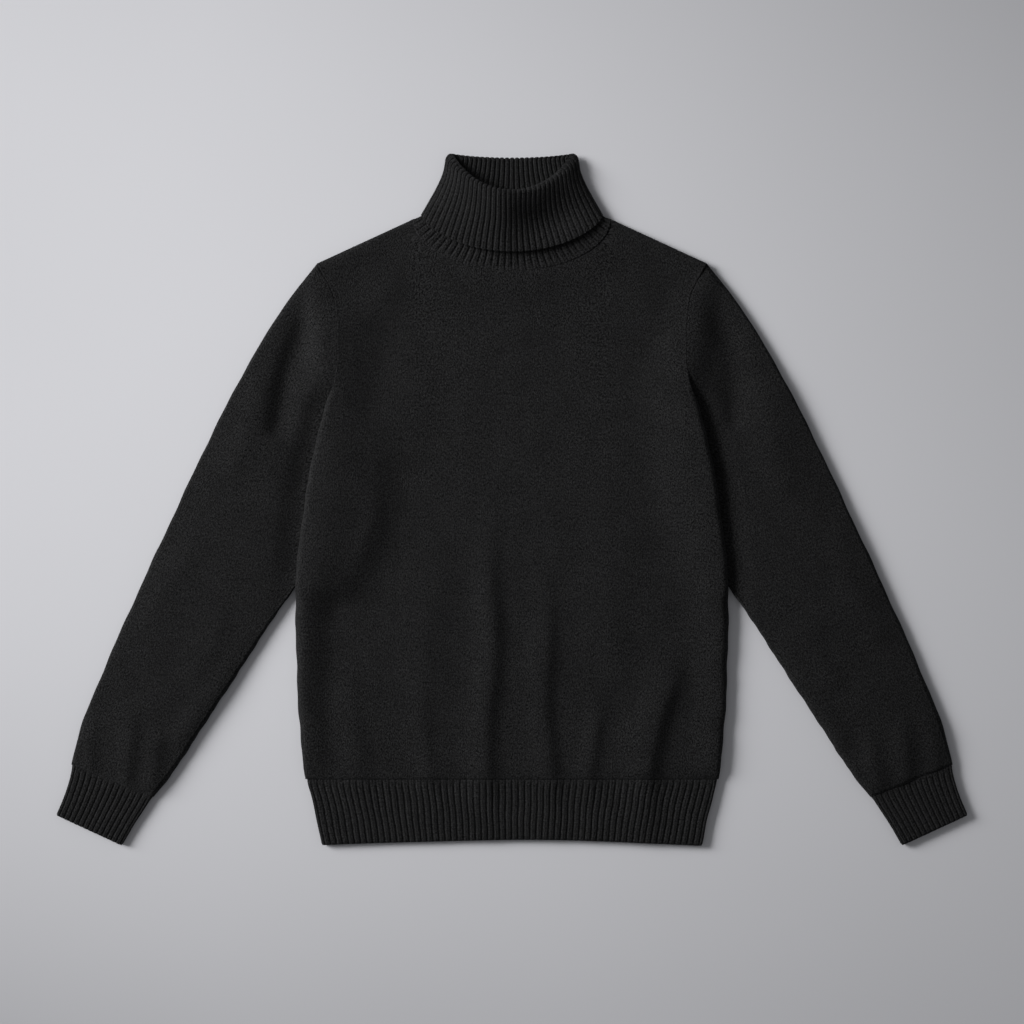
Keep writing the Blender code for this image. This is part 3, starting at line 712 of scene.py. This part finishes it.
@dataclass
class BodyPanels:
    """The front and the back of the body."""

    shape: BodyShape
    cell: float = 3.3
    back_cell: float = 5.0
    band_steps: int = 18
    band_length: float = 20.0
    blouse_rise: float = 1.6          # how far the front stands up just above the hem rib
    blouse_start: float = 10.0
    blouse_run: float = 50.0
    hem_run: float = 12.0
    hem_share: float = 0.55           # part of the creases' height that is left at the hem rib
    shoulder_run: float = 34.0
    neck_run: float = 46.0
    seam_end_y: float = 112.0         # below this the armhole seam is hidden by the fold
    seam_rise: float = 0.55
    seam_width: float = 1.8

    def front_level(self, x: np.ndarray, y: np.ndarray, row_y: np.ndarray, edge_x: np.ndarray) -> np.ndarray:
        """Height of the front's face before its edges are rolled."""
        shape = self.shape
        level = shape.flat_top + ridge_height(x, y, FRONT_RIDGES) + undulation(x, y, 0.6)
        level = level + Relief(Side.LEFT).at(row_y, edge_x + x) + Relief(Side.RIGHT).at(row_y, edge_x - x)
        above_hem = y - shape.hem_y
        settled = 1 - smooth((above_hem - self.blouse_start) / self.blouse_run)
        level = level + self.blouse_rise * smooth(above_hem / self.blouse_start) * settled
        on_hem = 1 - smooth(above_hem / self.hem_run)
        level = blend(level, shape.hem_top + self.hem_share * ridge_height(x, y, FRONT_RIDGES), on_hem)
        from_neck, neck_height = shape.neck_shape(x, y)
        below_shoulder = shape.shoulder_line(x) - y - 3.0
        near_shoulder = (1 - smooth(below_shoulder / self.shoulder_run)) * smooth(from_neck / 24.0)
        level = blend(level, shape.shoulder_top, near_shoulder)
        level = blend(level, neck_height, 1 - smooth((from_neck - 0.5) / self.neck_run))
        seam = self.seam_rise * np.exp(-((edge_x - np.abs(x)) / self.seam_width) ** 2)
        return level + np.where(row_y > self.seam_end_y, seam, 0.0)

    def grid(self, front: bool) -> tuple[np.ndarray, np.ndarray]:
        """Places of one panel's face, and of its flat cloth.

        Args:
            front: The front panel, or the back one.

        Returns:
            Rows from hem to shoulder by columns from left to right.
        """
        shape = self.shape
        cell = self.cell if front else self.back_cell
        top_radius = shape.shoulder_top - shape.seam_height if front else shape.back_radius
        row_y, top_drop = shape.rows(cell, top_radius)
        edge_x = shape.edge.at(row_y) + 0.35 * np.sin(row_y / 13.0) + 0.3 * np.sin(row_y / 5.3 + 1.0)
        turn = np.radians(np.clip(edge_track("turn" if front else "back_turn").at(row_y), 0, 160))
        columns = shape.columns(cell)
        strips = []
        for side in (Side.LEFT, Side.RIGHT):
            if front:
                rise = edge_track(side.name.lower() + "_rise").at(row_y)
                closed = smooth((-94.0 - row_y) / 20.0)
                radius = blend(shape.fold_radius, shape.flat_top + 0.97 * rise - shape.seam_height, closed)
            else:
                radius = np.full_like(row_y, shape.back_radius)
            strips.append(roll_band(self.band_length, turn, radius, self.band_steps))
        (left_inset, left_drop), (right_inset, right_drop) = strips
        start_left = edge_x - left_inset[:, 0]
        start_right = edge_x - right_inset[:, 0]
        top_end = shape.shoulder_x - shape.band
        share = columns / top_end
        middle_x = np.where(share < 0, share * start_left[:, None], share * start_right[:, None])
        x = np.concatenate([-(edge_x[:, None] - left_inset[:, ::-1])[:, :-1], middle_x,
                            (edge_x[:, None] - right_inset)[:, 1:]], axis=1)
        walked = np.linspace(0, self.band_length, self.band_steps + 1)[1:]
        top_x = np.concatenate([-(top_end + walked[::-1]), columns, top_end + walked])
        neck_drop = shape.front_drop if front else shape.back_drop
        below_top = shape.shoulder_y - row_y
        eased = smooth(below_top / shape.corner_depth)[:, None]
        sharp, round_line = shape.top_line(top_x, neck_drop), shape.eased_top_line(top_x, neck_drop)
        top_y = blend(sharp[None, :], round_line[None, :], eased)
        fade = 1 - smooth(below_top / (shape.shoulder_y - shape.fade_y))
        reach = np.abs(top_x) / shape.neck_half
        beyond = np.abs(top_x) - shape.neck_half
        fan = np.where(reach < 1, reach ** shape.fan_power, 1 - smooth(beyond / shape.fan_width))
        sideways = np.sign(top_x) * fan * shape.corner_fan
        x = x + sideways[None, :] * (1 - np.exp(-below_top / shape.fan_depth))[:, None] * fade[:, None]
        y = row_y[:, None] + (top_y - shape.shoulder_y) * fade[:, None]
        zero = np.zeros_like(middle_x)
        drop = np.concatenate([left_drop[:, ::-1][:, :-1], zero, right_drop[:, 1:]], axis=1)
        on_shoulder = smooth((np.abs(top_x) - shape.neck_half + 2.0) / 8.0)[None, :]
        drop = drop + top_drop[:, None] * on_shoulder
        if front:
            z = self.front_level(x, y, row_y[:, None], edge_x[:, None]) - drop
            at_top = (top_drop[:, None] > 0) & (np.abs(x) > 90.0)
            z = np.where(at_top, np.maximum(z, shape.seam_height), z)
        else:
            z = drop + ridge_height(x, y, BACK_RIDGES) * smooth((top_y - y - 8.0) / 30.0)
        flat_x = np.concatenate([-(start_left[:, None] + walked[::-1]), middle_x,
                                 start_right[:, None] + walked], axis=1)
        return np.stack([x, y, z], axis=2), np.stack([flat_x + 300.0, y + 400.0], axis=2)

    def build(self, dresser: Dresser) -> None:
        """Make and dress both panels."""
        points, flat = self.grid(front=True)
        front = cloth_grid("front_panel", points, flat, ring=False)
        thicken(front, self.shape.wall)
        dresser.dress(front, "wool_jersey", ("front_body",))
        points, flat = self.grid(front=False)
        back = cloth_grid("back_panel", points, flat, ring=False)
        flip(back)
        thicken(back, self.shape.wall)
        dresser.dress(back, "wool_jersey", ("back_body",))


# ---------------------------------------------------------------- sleeves

@dataclass
class Sleeve:
    """One sleeve: a flattened tube that is set into the armhole and tucked under the body's edge."""

    side: Side
    shape: BodyShape
    wall: float = 2.4
    rows: int = 150
    top_columns: int = 92
    under_columns: int = 44
    roll_steps: int = 8
    tuck: float = 12.0                # how far the top layer runs under the body's folded edge
    tuck_top_y: float = 118.0
    tuck_top_run: float = 46.0
    tuck_end_y: float = -96.0
    tuck_end_run: float = 60.0
    seam_tuck: float = 1.6            # the same at the armhole seam above the fold
    seam_end_y: float = 100.0         # where the seam gives way to the fold
    seam_run: float = 44.0
    valley: float = 1.9               # depth of the hollow beside the fold
    valley_end_y: float = -130.0
    valley_run: float = 60.0
    valley_start: float = 6.0
    valley_width: float = 40.0
    cuff_start: float = 0.985         # part of the length where the top settles to the cuff
    cuff_run: float = 0.015
    cuff_top: float = 8.1
    lee_rise: float = 3.4             # how high the right sleeve climbs towards the body's fold
    lee_width: float = 40.0
    lee_end_y: float = -110.0         # where that climb ends beside the underarm
    lee_run: float = 60.0

    def ring_layout(self) -> tuple[np.ndarray, ...]:
        """Place of each column round the tube.

        Returns:
            Part of the flat width, angle of the roll, how far the column stands out on a roll, and
            the part of the unrolled width, from under the outer edge over the top to the inner edge
            and back underneath.
        """
        rolls = np.linspace(-math.pi / 2, math.pi / 2, 2 * self.roll_steps + 1)
        top = np.linspace(0, 1, self.top_columns + 2)[1:-1]
        top = 0.5 - 0.5 * np.cos(math.pi * top) * (1 - 0.35 * np.sin(math.pi * top) ** 2)
        under = np.linspace(1, 0, self.under_columns + 2)[1:-1]
        part = np.concatenate([np.zeros(rolls.size), top, np.ones(rolls.size), under, [0.0]])
        angle = np.concatenate([rolls, np.full(top.size, math.pi / 2), rolls[::-1],
                                np.full(under.size, -math.pi / 2), [-math.pi / 2]])
        unrolled = np.concatenate([np.zeros(rolls.size), top, np.ones(rolls.size), 2.0 - under, [2.0]])
        return part, angle, np.cos(angle), unrolled

    def armhole_bow(self, y: np.ndarray) -> np.ndarray:
        """Sideways step from the armhole's straight line to its real one."""
        first, last = SLEEVE_STATIONS[0], UNDERARM
        part = (first.outer_y - y) / (first.outer_y - last.y)
        return self.shape.edge.at(y) - blend(first.outer_x, last.x, np.clip(part, 0, 1))

    def grid(self) -> tuple[np.ndarray, np.ndarray]:
        """Places of the tube's face, and of its flat cloth, for the right side."""
        places = np.array([[s.outer_x, s.outer_y] for s in SLEEVE_STATIONS])
        knots = np.concatenate([[0.0], np.cumsum(np.hypot(*np.diff(places, axis=0).T))])
        knots = list(knots / knots[-1])
        names = ("outer_x", "outer_y", "inner_x", "inner_y", "arch", "radius")
        along = np.linspace(0, 1, self.rows + 1)
        value = {name: Track(knots, [getattr(s, name) for s in SLEEVE_STATIONS]).at(along)[:, None]
                 for name in names}
        part, angle, on_roll, unrolled = self.ring_layout()
        radius = value["radius"]
        width = np.hypot(value["inner_x"] - value["outer_x"], value["inner_y"] - value["outer_y"])
        way_x = (value["inner_x"] - value["outer_x"]) / width
        way_y = (value["inner_y"] - value["outer_y"]) / width
        start = radius + (width - 2 * radius) * part[None, :]
        out = np.where(part[None, :] < 0.5, -1.0, 1.0) * radius * on_roll[None, :]
        distance = start + out
        z = radius + radius * np.sin(angle)[None, :]
        on_top = (np.sin(angle) > 0.999)[None, :] * 1.0
        x = value["outer_x"] + way_x * distance
        y = value["outer_y"] + way_y * distance
        near_armhole = (1 - smooth(along / 0.30))[:, None]
        line_y = blend(SLEEVE_STATIONS[0].outer_y, UNDERARM.y, np.clip(distance / width, 0, 1))
        x = x + self.armhole_bow(line_y) * near_armhole
        arch = value["arch"] * np.sin(math.pi * np.clip(distance / width, 0, 1)) ** 0.6
        z = z + on_top * arch
        z = np.where(on_top > 0, self.top_level(x, y, z, along[:, None]), z)
        under = smooth((self.tuck_top_y - y) / self.tuck_top_run)
        under = under * smooth((y - self.tuck_end_y) / self.tuck_end_run)
        tuck = blend(self.seam_tuck, self.tuck, under) * smooth((252.0 - y) / 12.0)
        x = x - tuck * np.clip(np.sin(angle), 0, 1)[None, :] * (1 - smooth(along / 0.05))[:, None]
        edge_wave = 0.35 * np.sin(along * 43.0 + 0.7) + 0.25 * np.sin(along * 97.0)
        x = x + on_roll[None, :] * edge_wave[:, None] * (1 - near_armhole)
        points = np.stack([x, y, z], axis=2)
        walked = radius + (width - 2 * radius) * unrolled[None, :]
        walked = walked + np.where(unrolled < 0.5, -1.0, 1.0) * radius * (math.pi / 2 - angle)[None, :]
        flat_x = value["outer_x"] + way_x * walked + self.armhole_bow(line_y) * near_armhole
        flat_y = value["outer_y"] + way_y * walked
        reach = math.hypot(*(places[-1] - places[0]))
        lean_x, lean_y = (places[-1] - places[0]) / reach
        across = flat_y * lean_x - flat_x * lean_y
        down = flat_x * lean_x + flat_y * lean_y
        return points, np.stack([across + 100.0 * self.side.value, down + 500.0], axis=2)

    def top_level(self, x: np.ndarray, y: np.ndarray, z: np.ndarray, along: np.ndarray) -> np.ndarray:
        """Height of the top layer with its creases, its seam and the body's ridge beside it.

        Args:
            x: Places across, on the right side.
            y: Places along.
            z: Height of the plain tube.
            along: Part of the sleeve's length, from the armhole to the cuff.

        Returns:
            The height.
        """
        sign = self.side.value
        gap = x - self.shape.edge.at(y)
        away = smooth(gap / 30.0)
        creases = ridge_height(x * sign, y, SLEEVE_RIDGES[self.side]) + undulation(x * sign, y, 0.7)
        seamed = smooth((y - self.seam_end_y) / self.seam_run)
        ridge = Relief(self.side).at(y, -gap)
        level = blend(self.shape.flat_top, z, away) + creases * blend(1.0, away, 1 - seamed) + ridge * seamed
        level = level + 0.5 * seamed * np.exp(-((gap - 0.6) / 1.8) ** 2) - 0.5 * (gap < 0.2)
        beside = 1 - smooth((gap - self.valley_start) / self.valley_width)
        near = (1 - seamed) * smooth((y - self.valley_end_y) / self.valley_run) * beside
        level = level - self.valley * near
        if self.side is Side.RIGHT:
            climb = smooth((y - self.lee_end_y) / self.lee_run)
            lee = (1 - seamed) * climb * (1 - smooth(gap / self.lee_width))
            level = level + self.lee_rise * lee * smooth((gap + 3.0) / 3.0)
        to_cuff = smooth((along - self.cuff_start) / self.cuff_run)
        return blend(level, self.cuff_top + 0.5 * creases, to_cuff)

    def build(self, dresser: Dresser) -> None:
        """Make and dress the sleeve."""
        points, flat = self.grid()
        points[..., 0] *= self.side.value
        name = f"sleeve_{self.side.name.lower()}"
        piece = cloth_grid(name + "_cloth", points, flat, ring=True)
        if self.side is Side.LEFT:
            flip(piece)
        thicken(piece, self.wall)
        dresser.dress(piece, "wool_jersey", (name,))


# ---------------------------------------------------------------- ribs

@dataclass
class HemRib:
    """The ribbed hem: a front and a back half, each knitted onto its panel."""

    ribs: int = 64
    per_rib: int = 10
    rows: int = 30
    wall: float = 2.0
    depth: float = 1.45
    top: float = 8.3
    end_y: float = -377.0
    join_y: float = -304.5
    start_y: float = -300.0
    bow: float = 6.0

    def grid(self, front: bool) -> tuple[np.ndarray, np.ndarray]:
        """Places of one half's face and of its flat cloth, from its end up to the panel."""
        along = np.linspace(0, 1, self.rows + 1)
        y_line = blend(self.end_y, self.start_y, along)
        half = Track([-377.0, -350.0, -322.0, -309.0, -300.0], [207.4, 212.9, 219.6, 223.0, 223.6]).at(y_line)
        columns = self.ribs * self.per_rib + 1
        share = np.linspace(-1, 1, columns)
        radius = self.top / 2
        points = np.zeros((along.size, columns, 3))
        flat = np.zeros((along.size, columns, 2))
        for row, (y, width) in enumerate(zip(y_line, half)):
            length = (width - radius) + radius * math.pi / 2
            walked = share * length
            beyond = np.clip(np.abs(walked) - (width - radius), 0, None) / radius
            rounded = width - radius + radius * np.sin(beyond)
            x = np.sign(walked) * np.where(beyond > 0, rounded, np.abs(walked))
            z = radius + radius * np.cos(beyond)
            bow = self.bow * (1 - (x / width) ** 2) * (1 - along[row]) ** 1.4
            sag = 0.5 * np.sin(x / 41.0 + 0.8) * (1 - along[row])
            wander = 0.45 * np.sin(x / 17.0 + y / 9.0) * math.sin(math.pi * along[row])
            points[row] = np.stack([x + wander, y + bow + sag, z], axis=1)
            flat_x = (share + 1) * self.ribs / 2 * RIB_PITCH
            flat[row] = np.stack([flat_x, np.full(columns, y + 400.0)], axis=1)
        if front:
            settle = 0.55 * (1 - 0.75 * smooth((self.join_y - y_line) / 46.0))[:, None]
            points[..., 2] += ridge_height(points[..., 0], np.full_like(points[..., 1], self.join_y),
                                           FRONT_RIDGES) * settle
        phase = (share + 1) * self.ribs / 2
        below = (self.join_y - y_line)[:, None]
        grown = smooth((below - 4.0 * rib_start(phase)[None, :]) / 5.0)
        tucked = (1 - smooth(below / 2.0)) * 0.5
        tip = (1 - smooth((y_line - self.end_y) / 2.4))[:, None]
        normal = surface_normals(points, ring=False)
        height = rib_profile(phase)[None, :]
        points = points + normal * (self.depth * (height - 1) * grown - tucked - 0.8 * tip)[..., None]
        if not front:
            points[..., 2] = self.top - points[..., 2]
            points[..., 2] = np.maximum(points[..., 2], 0.0)
        return points, flat

    def build(self, dresser: Dresser) -> None:
        """Make and dress both halves."""
        for name, front in (("hem_rib_front", True), ("hem_rib_back", False)):
            points, flat = self.grid(front)
            piece = cloth_grid(name + "_cloth", points, flat, ring=False)
            if not front:
                flip(piece)
            thicken(piece, self.wall)
            dresser.dress(piece, "wool_rib", (name,))


@dataclass
class Cuff:
    """One ribbed cuff, a flattened tube."""

    side: Side
    ribs: int = 30
    per_rib: int = 10
    rows: int = 30
    wall: float = 1.9
    depth: float = 1.4
    top: float = 8.2
    join: float = 0.07                # part of the length that lies inside the sleeve's end
    length: float = 68.0
    outer: tuple[tuple[float, float], ...] = (
        (477.6, -283.5), (481.6, -303.5), (488.4, -324.5), (496.4, -343.5))
    inner: tuple[tuple[float, float], ...] = (
        (387.4, -318.5), (398.2, -335.5), (410.8, -354.5), (424.0, -377.0))

    def grid(self) -> tuple[np.ndarray, np.ndarray]:
        """Places of the cuff's face and of its flat cloth, for the right side."""
        stations = [0.0, 0.33, 0.66, 1.0]
        along = np.linspace(0, 1, self.rows + 1)
        outer = [Track(stations, [p[i] for p in self.outer]).at(along) for i in range(2)]
        inner = [Track(stations, [p[i] for p in self.inner]).at(along) for i in range(2)]
        columns = self.ribs * self.per_rib + 1
        share = np.linspace(0, 1, columns)
        radius = self.top / 2
        points = np.zeros((along.size, columns, 3))
        flat = np.zeros((along.size, columns, 2))
        for row in range(along.size):
            ax, ay, bx, by = outer[0][row], outer[1][row], inner[0][row], inner[1][row]
            width = math.hypot(bx - ax, by - ay)
            straight = width - 2 * radius
            around = 2 * straight + 2 * math.pi * radius
            walked = share * around
            turn_in = np.clip((walked - straight) / radius, 0, math.pi)
            back = np.clip(walked - straight - math.pi * radius, 0, straight)
            turn_out = np.clip((walked - 2 * straight - math.pi * radius) / radius, 0, math.pi)
            distance = radius + np.minimum(walked, straight) + radius * np.sin(turn_in) - back
            distance = distance - radius * np.sin(turn_out)
            z = radius + radius * np.cos(turn_in) + radius * (1 - np.cos(turn_out))
            x = ax + (bx - ax) / width * distance
            y = ay + (by - ay) / width * distance
            points[row] = np.stack([x, y, z], axis=1)
            flat_y = np.full(columns, along[row] * self.length)
            flat[row] = np.stack([share * self.ribs * RIB_PITCH, flat_y], axis=1)
        phase = share * self.ribs
        below = ((along - self.join) * self.length)[:, None]
        grown = smooth((below - 4.5 * rib_start(phase)[None, :]) / 5.0)
        tucked = (1 - smooth(below / 2.0)) * 0.5
        tip = (1 - smooth((1 - along) / 0.035))[:, None]
        normal = surface_normals(points, ring=True)
        normal = normal if normal[:, 20:60, 2].mean() > 0 else -normal
        lift = self.depth * (rib_profile(phase)[None, :] - 1) * grown - tucked - 0.8 * tip
        points = points + normal * lift[..., None]
        points[..., 2] = np.maximum(points[..., 2], 0.0)
        points[:, -1] = points[:, 0]
        return points, flat

    def build(self, dresser: Dresser) -> None:
        """Make and dress the cuff."""
        points, flat = self.grid()
        points[..., 0] *= self.side.value
        name = f"cuff_{self.side.name.lower()}"
        piece = cloth_grid(name + "_cloth", points, flat, ring=True)
        if self.side is Side.LEFT:
            flip(piece)
        thicken(piece, self.wall)
        dresser.dress(piece, "wool_rib", (name,))


class CollarLevel(NamedTuple):
    """One ring of the collar."""

    name: str
    half: float           # half width
    side_y: float
    front_y: float
    back_y: float
    low: float
    high: float
    round: float          # 0 square sides, 1 an ellipse
    front_curve: float    # power of the front arc


STAND = (
    CollarLevel("neck_seam", 107.8, 304.6, 248.4, 288.0, 0.0, 11.7, 0.30, 0.50),
    CollarLevel("base", 99.8, 308.0, 258.0, 296.0, 1.6, 12.6, 0.30, 0.60),
    CollarLevel("under_edge", 94.6, 311.5, 269.0, 304.5, 3.9, 13.6, 0.40, 0.68),
    CollarLevel("lower", 86.3, 325.0, 286.0, 320.0, 3.9, 16.4, 0.55, 0.74),
    CollarLevel("middle", 77.0, 341.0, 303.0, 338.0, 3.9, 19.6, 0.70, 0.78),
    CollarLevel("upper", 69.4, 356.0, 317.5, 353.0, 3.9, 22.6, 0.82, 0.82),
    CollarLevel("fold", 65.2, 370.6, 330.0, 367.4, 3.9, 25.4, 0.95, 0.85),
)
TURN_DOWN = (
    CollarLevel("fold", 73.0, 368.0, 330.0, 367.4, 0.0, 29.8, 0.95, 0.80),
    CollarLevel("upper", 75.6, 355.0, 316.5, 353.0, 0.0, 27.4, 0.85, 0.80),
    CollarLevel("middle", 81.8, 340.5, 303.0, 338.0, 0.0, 24.4, 0.75, 0.78),
    CollarLevel("lower", 90.2, 325.0, 287.5, 322.0, 0.0, 21.6, 0.60, 0.72),
    CollarLevel("edge", 99.2, 309.2, 269.2, 306.0, 0.0, 19.4, 0.45, 0.68),
)


class Dent(NamedTuple):
    """A soft bulge or hollow of the collar's front."""

    name: str
    x: float
    y: float
    left: float
    right: float
    along: float
    height: float


COLLAR_DENTS = (
    Dent("crest", -14.0, 312.0, 48.0, 20.0, 34.0, 6.4),
    Dent("right_hollow", 41.0, 306.0, 26.0, 32.0, 18.0, -9.6),
    Dent("right_lip", 30.0, 336.0, 26.0, 26.0, 9.0, 2.4),
    Dent("left_lip", -36.0, 340.0, 20.0, 20.0, 12.0, 1.0),
)


@dataclass
class Collar:
    """The collar: one rib tube that rises as a stand, folds over and comes back down."""

    front_ribs: int = 34
    back_ribs: int = 25
    per_rib: int = 8
    wall: float = 3.2
    depth: float = 1.6
    widest: float = 5.0
    back_curve: float = 0.6
    roll_reach: float = 4.6
    roll_side_reach: float = 2.4

    def ring(self, levels: tuple[CollarLevel, ...], part: float, inset: float) -> np.ndarray:
        """One ring of points, evenly spaced round the front half and round the back half.

        Args:
            levels: The stand's or the turn-down's rings.
            part: Place between the first ring (0) and the last one (1).
            inset: Distance inside the ring.

        Returns:
            Columns by three, the last one repeating the first.
        """
        stations = list(np.linspace(0, 1, len(levels)))
        half, side_y, front_y, back_y, low, high, roundness, curve = (
            float(Track(stations, [level[i + 1] for level in levels]).at(part)) for i in range(8))
        dense = np.linspace(0, math.pi, 721)
        middle = max(self.widest, low + inset + 0.6)
        rings = []
        for front in (True, False):
            x = (half - inset) * np.cos(dense) * (1 if front else -1)
            rise = np.sin(dense)
            target_y = front_y if front else back_y
            power = curve if front else self.back_curve
            target_z = high - inset if front else low + inset
            y = side_y + (target_y - side_y) * rise ** (2 * power)
            z = middle + (target_z - middle) * rise ** max(roundness, 0.12)
            if front:
                z = z + self.dents(x, y) * np.clip((z - middle) / 12.0, 0, 1)
            line = np.stack([x, y, z], axis=1)
            walked = np.concatenate([[0.0], np.cumsum(np.linalg.norm(np.diff(line, axis=0), axis=1))])
            count = self.front_ribs if front else self.back_ribs
            wanted = np.linspace(0, walked[-1], count * self.per_rib + 1)
            even = np.stack([np.interp(wanted, walked, line[:, i]) for i in range(3)], axis=1)
            rings.append(even[:-1])
        ring = np.concatenate(rings)
        return np.concatenate([ring, ring[:1]])

    @staticmethod
    def dents(x: np.ndarray, y: np.ndarray) -> np.ndarray:
        """Height of the collar's bulges and hollows."""
        total = np.zeros_like(x)
        for dent in COLLAR_DENTS:
            width = np.where(x < dent.x, dent.left, dent.right)
            total += dent.height * np.exp(-((x - dent.x) / width) ** 2 - ((y - dent.y) / dent.along) ** 2)
        return total

    def rings(self) -> tuple[np.ndarray, np.ndarray]:
        """All the rings round the cloth's own section, and how deep the ribs are on each."""
        wall = self.wall
        rings, depth = [], []
        for part in np.linspace(0.0, 1.0, 40):
            rings.append(self.ring(STAND, part, wall))
            depth.append(0.3 if part < 0.2 else 1.0)
        inner, outer = self.ring(STAND, 1.0, wall), self.ring(TURN_DOWN, 0.0, 0.0)
        aside = np.abs(inner[:, :1]) / np.abs(inner[:, 0]).max()
        reach = self.roll_reach + self.roll_side_reach * aside ** 2
        for angle in np.linspace(0, math.pi, 18)[1:-1]:
            ring = blend(inner, outer, (1 - math.cos(angle)) / 2)
            ring[:, 1:2] += reach * math.sin(angle)
            rings.append(ring)
            depth.append(1.0)
        for part in np.linspace(0.0, 1.0, 44):
            rings.append(self.ring(TURN_DOWN, part, 0.0))
            depth.append(1.0)
        for angle in np.linspace(0, math.pi, 6)[1:-1]:
            ring = self.ring(TURN_DOWN, 1.0, wall / 2 * (1 - math.cos(angle)))
            ring[:, 1] -= 1.4 * math.sin(angle)
            rings.append(ring)
            depth.append(0.6)
        for part in np.linspace(1.0, 0.0, 10):
            rings.append(self.ring(TURN_DOWN, part, wall))
            depth.append(0.0)
        for part in np.linspace(1.0, 0.45, 8):
            rings.append(self.ring(STAND, part, 0.0))
            depth.append(0.0)
        for part in np.linspace(0.40, 0.0, 22):
            rings.append(self.ring(STAND, part, 0.0))
            depth.append(float(smooth(part / 0.12)))
        ring = self.ring(STAND, 0.0, wall * 0.5)
        ring[:, 1] -= 0.8
        rings.append(ring)
        depth.append(0.0)
        return np.stack(rings + [rings[0]]), np.asarray(depth + [depth[0]])

    def build(self, dresser: Dresser) -> None:
        """Make and dress the collar."""
        points, depth = self.rings()
        along = np.concatenate([points[-2:-1], points, points[1:2]])
        wrapped = np.concatenate([points[:, -2:-1], points, points[:, 1:2]], axis=1)
        normal = np.cross(wrapped[:, 2:] - wrapped[:, :-2], along[2:] - along[:-2])
        normal /= np.maximum(np.linalg.norm(normal, axis=2, keepdims=True), 1e-9)
        if normal[70, self.front_ribs // 2 * self.per_rib, 2] < 0:
            normal = -normal
        phase = np.arange(points.shape[1]) / self.per_rib
        sunk = (rib_profile(phase)[None, :] - 1) * self.depth * depth[:, None]
        points = points + normal * sunk[..., None]
        points[..., 2] = np.maximum(points[..., 2], 0.0)
        points[:, -1] = points[:, 0]
        points[-1] = points[0]
        steps = np.linalg.norm(np.diff(points, axis=0), axis=2).mean(axis=1)
        down = np.concatenate([[0.0], np.cumsum(steps)])
        flat = np.stack([np.broadcast_to(phase * RIB_PITCH, points.shape[:2]),
                         np.broadcast_to(down[:, None], points.shape[:2])], axis=2)
        piece = cloth_grid("collar_cloth", points, flat, ring=True, loop=True)
        self.face_out(piece)
        dresser.dress(piece, "wool_rib", ("collar",))

    @staticmethod
    def face_out(piece: bpy.types.Object) -> None:
        """Turn the faces outwards by the sign of the volume that they enclose."""
        mesh = piece.data
        mesh.calc_loop_triangles()
        corners = np.empty(len(mesh.loop_triangles) * 3, dtype=np.int32)
        mesh.loop_triangles.foreach_get("vertices", corners)
        places = np.empty(len(mesh.vertices) * 3)
        mesh.vertices.foreach_get("co", places)
        a, b, c = places.reshape(-1, 3)[corners.reshape(-1, 3)].transpose(1, 0, 2)
        if np.einsum("ij,ij->i", a, np.cross(b, c)).sum() < 0:
            flip(piece)


# ---------------------------------------------------------------- studio

@dataclass
class Studio:
    """Floor, lights and camera."""

    floor_size: float = 9.0
    camera_height: float = 3.2
    view_width: float = 1.116
    view_y: float = -0.014

    def build(self) -> None:
        """Set up the picture."""
        deselect_all()
        bpy.ops.mesh.primitive_plane_add(size=self.floor_size, location=(0, 0, -0.0004))
        floor = bpy.context.active_object
        floor.name = "floor"
        bpy.ops.object.transform_apply(location=True, rotation=True, scale=True)
        floor.data.materials.append(FloorFinish().build())
        self.lamp("key", (-2.02, 0.76, 0.90), (-0.60, 0.25, 0.0), 1.6, math.radians(44), 13.6)
        world = bpy.data.worlds.new("studio")
        world.use_nodes = True
        world.node_tree.nodes["Background"].inputs["Color"].default_value = (0.97, 0.98, 1.0, 1.0)
        world.node_tree.nodes["Background"].inputs["Strength"].default_value = 0.20
        bpy.context.scene.world = world
        camera_data = bpy.data.cameras.new("camera")
        camera_data.sensor_width = 36.0
        camera_data.lens = 36.0 * self.camera_height / self.view_width
        camera = bpy.data.objects.new("camera", camera_data)
        camera.location = (0.0, self.view_y, self.camera_height)
        bpy.context.scene.collection.objects.link(camera)
        bpy.context.scene.camera = camera
        bpy.context.scene.view_settings.view_transform = "Standard"

    @staticmethod
    def lamp(name: str, place: tuple[float, float, float], aim: tuple[float, float, float], size: float,
             spread: float, power: float) -> None:
        """A square soft light.

        Args:
            name: Name of the lamp.
            place: Where it stands.
            aim: The point that it faces.
            size: Length of its sides.
            spread: Angle that its grid lets out.
            power: Its power in watts.
        """
        data = bpy.data.lights.new(name, "AREA")
        data.size = size
        data.spread = spread
        data.energy = power
        lamp = bpy.data.objects.new(name, data)
        lamp.location = place
        lamp.rotation_euler = (Vector(aim) - Vector(place)).to_track_quat("-Z", "Y").to_euler()
        bpy.context.scene.collection.objects.link(lamp)


def main() -> None:
    """Build the sweater piece by piece, then the studio."""
    logging.basicConfig(level=logging.INFO, format="%(name)s: %(message)s")
    shape = BodyShape()
    dresser = Dresser()
    BodyPanels(shape).build(dresser)
    for side in Side:
        Sleeve(side, shape).build(dresser)
        Cuff(side).build(dresser)
    HemRib().build(dresser)
    Collar().build(dresser)
    Studio().build()


if __name__ == "__main__":
    main()
